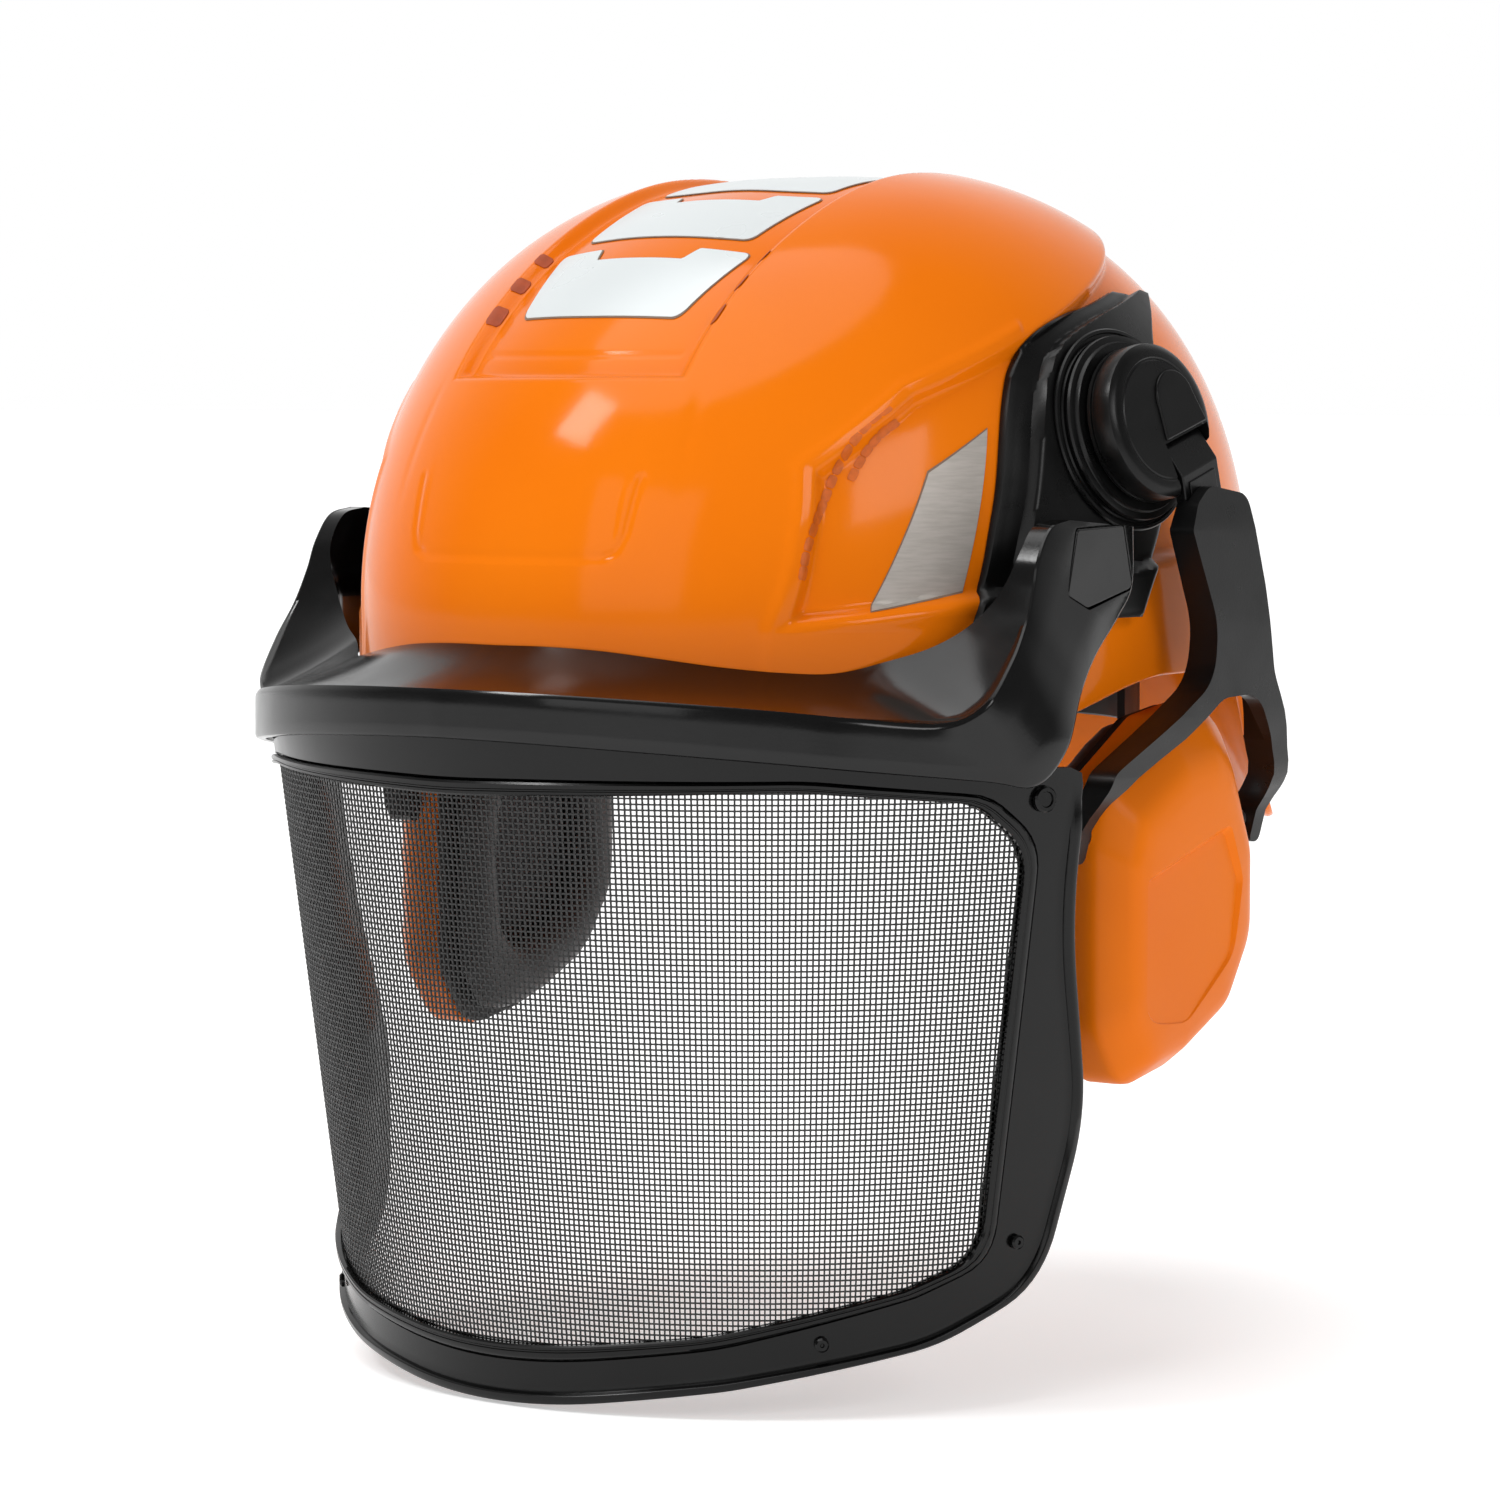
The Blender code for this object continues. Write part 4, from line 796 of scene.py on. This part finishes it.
def inflate(obj, voxel, pressure, cap, frames=20):
    """Swells a closed pad with the cloth solver, and holds each point within cap of its start."""
    mod = obj.modifiers.new("remesh", "REMESH")
    mod.mode, mod.voxel_size = "VOXEL", voxel * MM
    apply_all(obj)
    start = [v.co.copy() for v in obj.data.vertices]
    cloth = obj.modifiers.new("cloth", "CLOTH")
    rules = cloth.settings
    rules.use_pressure, rules.uniform_pressure_force = True, pressure
    rules.effector_weights.gravity = 0
    rules.quality, rules.tension_stiffness, rules.bending_stiffness = 6, 20, 1
    cloth.point_cache.frame_start, cloth.point_cache.frame_end = 1, frames
    scene = bpy.context.scene
    for number in range(1, frames + 1):
        scene.frame_set(number)
    apply_all(obj)
    scene.frame_set(1)
    for vert, home in zip(obj.data.vertices, start):
        move = vert.co - home
        if move.length > cap * MM:
            vert.co = home + move.normalized() * cap * MM
    bm = bmesh.new()
    bm.from_mesh(obj.data)
    for _ in range(3):
        bmesh.ops.smooth_vert(bm, verts=bm.verts, factor=0.5, use_axis_x=True, use_axis_y=True,
                              use_axis_z=True)
    bm.to_mesh(obj.data)
    bm.free()
    obj.data.shade_smooth()
    obj.modifiers.new("subdivide", "SUBSURF").levels = 1
    obj.modifiers["subdivide"].render_levels = 1
    apply_all(obj)


def build_cups():
    wall, face = 2.4, 108.5
    bowl = [cup_ring(x, inset, clamp((x - 99) / 9.5)) for x, inset in
            ((face, 22), (108.35, 15), (108.05, 11), (107.6, 8.8), (106.9, 7.2), (106, 6),
             (102.6, 2.4), (101.6, 1.4), (100.6, 0.6), (99.4, 0.15), (98, 0), (91.6, 0),
             (91, 0.5), (91, wall), (99, wall), (103.6, 5.4), (face - wall, 12))]
    bowls = both("cup_bowl", loft(bowl), "cup_orange", "cup", ["cup_shell"],
                 slot="orange_plastic", sharp=40)
    shield = rounded([(-19.5, -57.5, 2.5), (13, -48, 2.5), (18.5, -60, 4), (15, -76, 8),
                      (-4, -90, 8), (-20.5, -89, 6)], 6)

    def panel(y, z, w):
        draft = 1 + 0.055 * w
        return Vector((106.9 + 0.026 * (-48 - z) + w, y * draft, -70 + (z + 70) * draft))

    bore = turned([(0, -36.6), (2.5, -36.6), (2.5, 38.2), (0, 38.2)], CUP_AXIS, 32)
    carve(bowls, [prism(shield, panel, 4), bore], "cup_orange", 34, 0.8, 36)
    back = 90.7
    plate = [cup_ring(*at) for at in ((back, 0.5), (back, 15), (back - 2, 15), (back - 2, 0.5))]
    both("cup_back", loft(plate, closed_path=True), "band_plastic", "cup", ["cup_plate"],
         slot=BLACK, bevel=0.4)
    liner = [cup_ring(91.6, 4), cup_ring(98, 4), cup_ring(102, 8, 0.5)]
    both("cup_foam", loft(liner), "foam", "cup", ["foam_liner"], slot="foam", bevel=0.8)
    root, crown = 88, 79
    pad = [cup_ring(*at) for at in (
        (root, 2.2), (root, 16.2), (crown + 4, 17), (crown + 1.2, 14.5), (crown + 1.2, 6.8),
        (crown + 4, 2.8), (84, 1.8))]
    for obj in both("ear_cushion", loft(pad, closed_path=True), "leatherette", None):
        side = obj.name.rsplit("_", 1)[1]
        inflate(obj, 3, 4, 1.6)
        settle(obj, "cup_" + side, ["cushion_" + side])


# ---- visor

def cone_point(arc, z, lift=0):
    azimuth = arc / UNROLL
    radius = VISOR_R - VISOR_TAPER * (VISOR_TOP - z) + lift
    return Vector((radius * sin(azimuth), VISOR_Y - radius * cos(azimuth), z))


FRAME_OUT = [(74, -21.5, 80), (119, -29.4, 40), (138.2, -29.5, 4), (137.4, -64, 120),
             (147, -108, 50), (138, -145, 24), (110, -156.8, 60), (60, -165.8, 120),
             (0, -173.4, 260)]
FRAME_IN = [(0, -35.6, 260), (74, -33.4, 80), (112, -36.6, 14), (124.8, -47, 14),
            (120.4, -137.4, 12), (101, -144.2, 20), (55, -153.8, 120), (0, -159.4, 260)]
CENTRE = Vector((0, -95))
SPOKES = 360
RETAINER = 3.2
RABBET = 3.6


def spoked(half_outline):
    other = [(-u, v, radius) for u, v, radius in half_outline[::-1] if u]
    points = [Vector(p) for p in rounded(half_outline + other, 12)]
    met = []
    for k in range(SPOKES):
        turn = tau * k / SPOKES
        along = Vector((cos(turn), sin(turn)))
        side = Vector((-along.y, along.x))
        for a, b in zip(points, points[1:] + points[:1]):
            low, high = (a - CENTRE).dot(side), (b - CENTRE).dot(side)
            if low * high > 0 or low == high:
                continue
            hit = a.lerp(b, low / (low - high)) - CENTRE
            if hit.dot(along) > 0:
                met.append(CENTRE + hit)
                break
    return met


def build_visor_frame(inner, outer):
    bed, thick = 1, 2.6

    def ring(offset, lift):
        made = []
        for a, b in zip(inner, outer):
            across, room = (b - a).normalized(), (b - a).length - RABBET - 0.2
            spot = a + across * offset if offset >= 0 else b - across * min(-offset, room)
            made.append(cone_point(spot.x, spot.y, lift))
        return made

    def lip(offset, height):
        made = []
        for a, b in zip(inner, outer):
            room = (b - a).length - RABBET - 0.2
            fade = 1 - smooth(b.y, -44, -34)
            spot = b - (b - a).normalized() * min(offset, room * 0.6 * offset / 2.6)
            made.append(cone_point(spot.x, spot.y, thick + height * fade))
        return made

    rows = [ring(0, 0.3), ring(0, bed), ring(RABBET, bed), ring(RABBET, thick - 0.3),
            ring(RABBET + 0.3, thick), ring(-4.6, thick), ring(-3.6, thick), lip(2.7, 0.25),
            lip(2.3, 1.35), lip(2, 1.6), lip(0.6, 1.6), lip(0.15, 1.3), ring(-0.0001, thick),
            ring(-0.0001, 0.3), ring(-0.4, 0), ring(0.3, 0)]
    low, high = 2.25, 3.6
    strip = [ring(*at) for at in (
        (0, low), (0, high - 0.4), (0.4, high), (1, high), (1.2, high - 0.25), (1.5, high - 0.25),
        (1.7, high), (RETAINER - 0.5, high), (RETAINER, high - 0.4), (RETAINER, low))]
    for name, rings, node in (("visor_rim", rows, "visor_frame"),
                              ("mesh_clamp", strip, "mesh_retainer")):
        add_object(name, loft(rings, closed_path=True), "frame_plastic", body="visor",
                   replaces=[node], slot=BLACK, sharp=40)


def crossings(points, value, axis):
    """Where the outline crosses a grid line, in order."""
    hits = []
    for a, b in zip(points, points[1:] + points[:1]):
        if (a[axis] > value) != (b[axis] > value):
            t = (value - a[axis]) / (b[axis] - a[axis])
            hits.append(a[1 - axis] + (b[1 - axis] - a[1 - axis]) * t)
    return sorted(hits)


def build_mesh(inner):
    """Woven wire: each wire is a four-sided bar that rises and dips over the ones it crosses."""
    pitch, half, wave, lift0 = MESH_PITCH, WIRE_HALF, WEAVE, MESH_LIFT
    edge = []
    for spot in inner:
        away = spot - CENTRE
        edge.append(tuple(CENTRE + away + away.normalized() * 1.8))
    verts, faces = [], []

    def bar(samples, widthwise):
        base = len(verts)
        for (u, v, lift) in samples:
            du, dv = (half, 0) if widthwise else (0, half)
            for su, dl in ((-1, -0.15), (1, -0.15), (1, 0.15), (-1, 0.15)):
                p = cone_point(u + su * du, v + su * dv, lift + dl)
                verts.append((p.x * MM, p.y * MM, p.z * MM))
        for i in range(len(samples) - 1):
            a, b = base + 4 * i, base + 4 * (i + 1)
            for k in range(4):
                m = (k + 1) % 4
                faces.append((a + k, a + m, b + m, b + k))
        faces.append((base, base + 1, base + 2, base + 3))
        last = base + 4 * (len(samples) - 1)
        faces.append((last + 3, last + 2, last + 1, last))

    upright = range(-int(130 / pitch), int(130 / pitch) + 1)
    level = range(int(-162 / pitch), int(-20 / pitch))
    for axis, numbers, over in ((0, upright, wave), (1, level, -wave)):
        for i in numbers:
            hits = crossings(edge, i * pitch, axis)
            if len(hits) < 2:
                continue
            low, high = hits[0], hits[-1]
            first, last = ceil(low / pitch), floor(high / pitch)
            stops = [(low, lift0)]
            stops += [(j * pitch, lift0 + (over if (i + j) % 2 else -over))
                      for j in range(first, last + 1) if low + 0.2 < j * pitch < high - 0.2]
            stops.append((high, lift0))
            bar([(spot, i * pitch, lift) if axis else (i * pitch, spot, lift)
                 for spot, lift in stops], axis == 0)
    mesh = bpy.data.meshes.new("woven_mesh")
    mesh.from_pydata(verts, [], faces)
    mesh.materials.append(MATS["mesh_wire"])
    settle(new_object("woven_mesh", mesh), "visor", ["visor_mesh"])


def build_pegs():
    for name, arc, z, r in (("peg", 128, -36.2, 2.9), ("pip_low", 130, -135, 1.6),
                            ("pip_bottom", 82, -155.4, 1.6)):
        turn = arc / UNROLL
        place = axis_frame(cone_point(arc, z, 2.85), (sin(turn), -cos(turn), 0))
        head = turned([(0, -0.1), (r, -0.1), (r, 0.7), (r - 0.4, 1.1), (r - 1.1, 1.1),
                       (r - 1.3, 0.7), (0, 0.7)], place, 36)
        both("frame_" + name, head, "frame_plastic", "visor",
             ["frame_peg"] if name == "peg" else [])


# ---- peak

def peak_station(azimuth):
    turn = radians(azimuth)
    outward = Vector((sin(turn), -cos(turn), 0))
    centre = Vector((0, VISOR_Y, 0))
    reach = 118
    for _ in range(40):
        spot = centre + outward * reach
        size = (abs(spot.x) / (SHELL_WIDE + 0.8)) ** SHELL_POWER
        size += (abs(spot.y - SHELL_Y) / (SHELL_LONG + 0.8)) ** SHELL_POWER
        reach -= (size ** (1 / SHELL_POWER) - 1) * 60
    seat = centre + outward * reach
    seat.z = -3.6 - 5.4 * smooth(azimuth, 8, 44)
    upper = centre + outward * 118
    upper.z = -13 - 10 * (azimuth / 65) ** 2
    lower = centre + outward * 118
    lower.z = -23 - 10.8 * (azimuth / 68) ** 1.7
    return seat, upper, lower, 0


ARM = [((76.5, -76.5, -6.5), (98, -86, -19.5), (103.5, -77.5, -31.6), 0),
       ((84, -71, -3.6), (104.5, -79.5, -15.5), (109, -66, -33), 0.3),
       ((90, -66.5, 0.5), (106.2, -72, -6.5), (111, -57, -25.5), 0.65),
       ((94.5, -63.5, 5.5), (105.8, -66, 1.5), (108.6, -48, -14), 0.9),
       ((97.5, -61.8, 10.5), (105.2, -62, 9.5), (106.4, -39, -6), 1),
       ((99.3, -59.5, 16.5), (104.8, -59.5, 16), (105, -27.5, 2.4), 1),
       ((99.6, -54.5, 22.5), (104.6, -54.5, 22.3), (104.6, -21.5, 9), 1),
       ((99.6, -47, 24), (104.5, -47, 24), (104.5, -21, 22), 1)]


def peak_profile(seat, upper, lower, arm):
    """A closed section with rounded ridges: shell edge, saddle, rim, band and the underside."""
    wall = 2.4
    seat, upper, lower = Vector(seat), Vector(upper), Vector(lower)
    inward = Vector((-upper.x, VISOR_Y - upper.y, 0)).normalized()
    drop = Vector((0, 0, -wall))
    plate = lower + Vector((-mix(2.6, 5, smooth(arm, 0.65, 1)), 0, 0))
    under_seat = (seat + drop).lerp(seat.lerp(plate, 0.12), arm)
    under_upper = (upper + inward * wall + drop).lerp(seat.lerp(plate, 0.55), arm)
    under_lower = (lower + inward * wall).lerp(plate, arm)
    sag = Vector((0, 0, arm - 1))
    ring = [seat] + [seat.lerp(upper, t) + sag * sin(pi * t)
                     for t in (0.12, 0.3, 0.5, 0.7, 0.84, 0.93)]
    down = (lower - upper).normalized()
    span = (lower - upper).length
    lift = Vector((0, 0, 0.5 * (1 - arm)))
    ring += [upper - down * 0.3 + inward * 0.7 + lift, upper + inward * 0.15,
             upper + down * 0.7]
    ring += [upper + down * span * t for t in (0.3, 0.5, 0.7)]
    ring += [lower - down, lower - down * 0.3 + inward * 0.3, lower + inward * 0.9]
    ring += [under_lower, under_lower.lerp(under_upper, 0.5), under_upper,
             under_upper.lerp(under_seat, 0.5), under_seat]
    return ring


def build_peak():
    keys = [peak_station(a) for a in (0, 8, 16, 24, 32, 40, 47)] + ARM
    lists = [[Vector(key[i]) for key in keys] for i in range(3)]
    arms = [Vector((key[3], 0)) for key in keys]
    total = 110
    half = []
    for k in range(1, total + 1):
        t = k / total
        seat, upper, lower = (spline(points, t) for points in lists)
        half.append(peak_profile(seat, upper, lower, clamp(spline(arms, t).x)))
    middle = peak_profile(*keys[0])
    other = [[Vector((-p.x, p.y, p.z)) for p in ring] for ring in half[::-1]]
    peak = add_object("brow_peak", loft(other + [middle] + half), "peak_plastic", sharp=38)
    cap = rounded([(-44.6, 22, 1.5), (-26, 22.6, 1.5), (-22.2, 8.4, 2),
                   (-40.2, 4.4, 2), (-48.4, 7.6, 1.5)], 6)
    centre = Vector((-35, 13))
    for side, sign in SIDES:
        recess = [centre + (Vector(p) - centre) * 1.035 for p in cap]
        pocket = prism(recess, lambda y, z, w: Vector((sign * (102.7 + w), y, z)), 9)
        bore = turned([(0, 90), (5.5, 90), (5.5, 103.5), (0, 103.5)],
                      axis_frame((0, -35, 13), (sign, 0, 0)), 40)
        for helper in (pocket, bore):
            cut_out(peak, helper, "peak_plastic")
    peak.data.set_sharp_from_angle(angle=radians(38))
    add_bevel(peak, 0.35, 50, 2)
    settle(peak, "visor", ["visor_peak"])
    body = prism(cap, lambda y, z, w: Vector((102.9 + w, y, z)), 1.9)
    both("hinge_cap", body, "peak_plastic", "visor", ["pivot_cap"], slot=BLACK, bevel=0.5)
    hinge = axis_frame((0, -35, 13), (1, 0, 0))
    steel_pin("hinge_pin", hinge, 96, 102.3, 5.2, 0.3, "helmet", "visor_pivot", 48)


# ---- harness

BAND_WIDE, BAND_LONG = 69, 87


def oval_point(azimuth, half_width, half_length, shift=0):
    x, y = shell_oval(np.array([radians(azimuth)]), half_width, half_length)
    return Vector((x[0], y[0] + shift))


def band_ring(start, end, steps, inset, profile):
    """Sections of an upright band; profile lists (offset outward, z)."""
    rings = []
    for k in range(steps + 1):
        ring = []
        for offset, z in profile:
            spot = oval_point(mix(start, end, k / steps), BAND_WIDE - inset + offset,
                              BAND_LONG - inset + offset)
            ring.append(Vector((*spot, z)))
        rings.append(ring)
    return rings


def build_harness():
    profile = [(0.3, -8), (0, -7.6), (0, 15.6), (0.3, 16), (1.7, 16), (2, 15.6), (2, 11.2),
               (1.6, 10.8), (1.6, -2.8), (2, -3.2), (2, -7.6), (1.7, -8)]
    add_object("head_band", loft(band_ring(-142, 142, 220, 0, profile)), "band_plastic",
               body="helmet", replaces=["headband"], slot=BLACK)
    pad = band_ring(-51, 51, 60, 3.6, [(0.4, -6.4), (0.4, 13.4), (2.8, 13.4), (2.8, -6.4)])
    cushion = add_object("brow_cushion", loft(pad), "leatherette")
    inflate(cushion, 2, 3, 0.9)
    settle(cushion, "helmet", ["brow_pad"])
    profile = [(0.3, -28), (0, -27.6), (0, -9), (0.3, -8.6), (1.5, -8.6), (1.8, -9), (1.8, -27.6),
               (1.5, -28)]
    add_object("nape_band", loft(band_ring(112, 248, 120, 0, profile)), "band_plastic",
               body="nape", replaces=["nape_strap"], slot=BLACK)
    for name, reach, high, across in (("across", 67, 82, True), ("along", 81, 78, False)):
        rings = []
        for k in range(121):
            turn = pi * k / 120
            a, b = reach * cos(turn), high * sin(turn)
            slope = Vector((cos(turn) / reach, sin(turn) / high)).normalized()
            ring = []
            for along, out in ((-9, 0.15), (-8.8, 0), (8.8, 0), (9, 0.15), (9, 1.05),
                               (8.8, 1.2), (7.6, 1.2), (7.4, 1.08), (-7.4, 1.08), (-7.6, 1.2),
                               (-8.8, 1.2), (-9, 1.05)):
                p, z = a + slope.x * out, b + slope.y * out + 4
                ring.append(Vector((p, along, z)) if across else Vector((along, p, z)))
            rings.append(ring)
        add_object("crown_web_" + name, loft(rings), "webbing", body="helmet",
                   replaces=["crown_strap_" + name], slot="webbing")
    for name, azimuth, stand, reach in (("front", 44, 1, 8.5), ("rear", 128, 4, 11)):
        start = oval_point(azimuth, BAND_WIDE + 2 + stand, BAND_LONG + 2 + stand)
        end = oval_point(azimuth, SHELL_WIDE - reach, SHELL_LONG - reach, SHELL_Y)
        along = (end - start).normalized()
        side = Vector((-along.y, along.x)) * 6
        corners = [start - side, end - side * 0.8, end + side * 0.8, start + side]
        clip = prism([tuple(c) for c in corners], lambda u, v, w: Vector((u, v, w + 7)), 9)
        both("clip_" + name, clip, "band_plastic", "helmet", ["harness_clip_" + name],
             slot=BLACK, bevel=1)


# ---- floor, light and camera

def build_stage():
    Shading("floor", (0.86, 0.86, 0.86), 0.8, Emission_Color=(1, 1, 1, 1), Emission_Strength=0.42)
    mesh = bpy.data.meshes.new("floor")
    corners = [(x, y, FLOOR_Z) for x, y in ((-30, -30), (30, -30), (30, 30), (-30, 30))]
    mesh.from_pydata(corners, [], [(0, 1, 2, 3)])
    mesh.materials.append(MATS["floor"])
    new_object("floor", mesh)
    world = bpy.data.worlds.new("studio")
    world.use_nodes = True
    nodes, links = world.node_tree.nodes, world.node_tree.links
    coords = nodes.new("ShaderNodeTexCoord")
    facing = nodes.new("ShaderNodeVectorMath")
    facing.operation = "DOT_PRODUCT"
    facing.inputs[1].default_value = (-sin(CAMERA_TURN), cos(CAMERA_TURN), 0)
    links.new(coords.outputs["Generated"], facing.inputs[0])
    bright = nodes.new("ShaderNodeMapRange")
    for number, value in enumerate((0.1, 0.75, 0.2, 1)):
        bright.inputs[number + 1].default_value = value
    links.new(facing.outputs["Value"], bright.inputs[0])
    nodes["Background"].inputs[0].default_value = (1, 1, 1, 1)
    links.new(bright.outputs[0], nodes["Background"].inputs[1])
    scene = bpy.context.scene
    scene.world, scene.view_settings.view_transform = world, "Standard"
    lamps = (("key", (-0.6, -0.95, 1.2), 5.6, 0.32), ("front", (0.15, -1.5, 0.5), 3.4, 0.9),
             ("side", (1.4, -0.35, 0.7), 4.5, 0.5), ("sun", (-0.3, -0.35, 2), 1.5, 0))
    for name, spot, power, size in lamps:
        data = bpy.data.lights.new(name, "AREA" if size else "SUN")
        data.energy = power
        if size:
            data.size = size
        else:
            data.angle = radians(50)
        lamp = new_object(name, data)
        lamp.location = spot
        aim = Vector((0, 0, -0.03)) - Vector(spot)
        lamp.rotation_euler = aim.to_track_quat("-Z", "Y").to_euler()


def build_camera():
    turn, rise = CAMERA_TURN, CAMERA_RISE
    right = Vector((cos(turn), sin(turn), 0))
    back = Vector((sin(turn) * cos(rise), -cos(turn) * cos(rise), sin(rise)))
    data = bpy.data.cameras.new("camera")
    data.lens, data.sensor_width = 126, 36
    camera = new_object("camera", data)
    spot = right * -0.01476 + Vector((0, 0, -0.0333)) + back * CAMERA_RANGE
    camera.matrix_world = frame_at(spot, right, back.cross(right), back)
    bpy.context.scene.camera = camera


def main():
    build_camera()
    build_stage()
    build_materials()
    build_shell()
    build_stickers()
    build_vents()
    build_side_mounts()
    build_hubs()
    build_arm()
    build_yoke()
    build_cups()
    inner, outer = spoked(FRAME_IN), spoked(FRAME_OUT)
    build_visor_frame(inner, outer)
    build_mesh(inner)
    build_pegs()
    build_peak()
    build_harness()
    bpy.context.view_layer.update()


main()
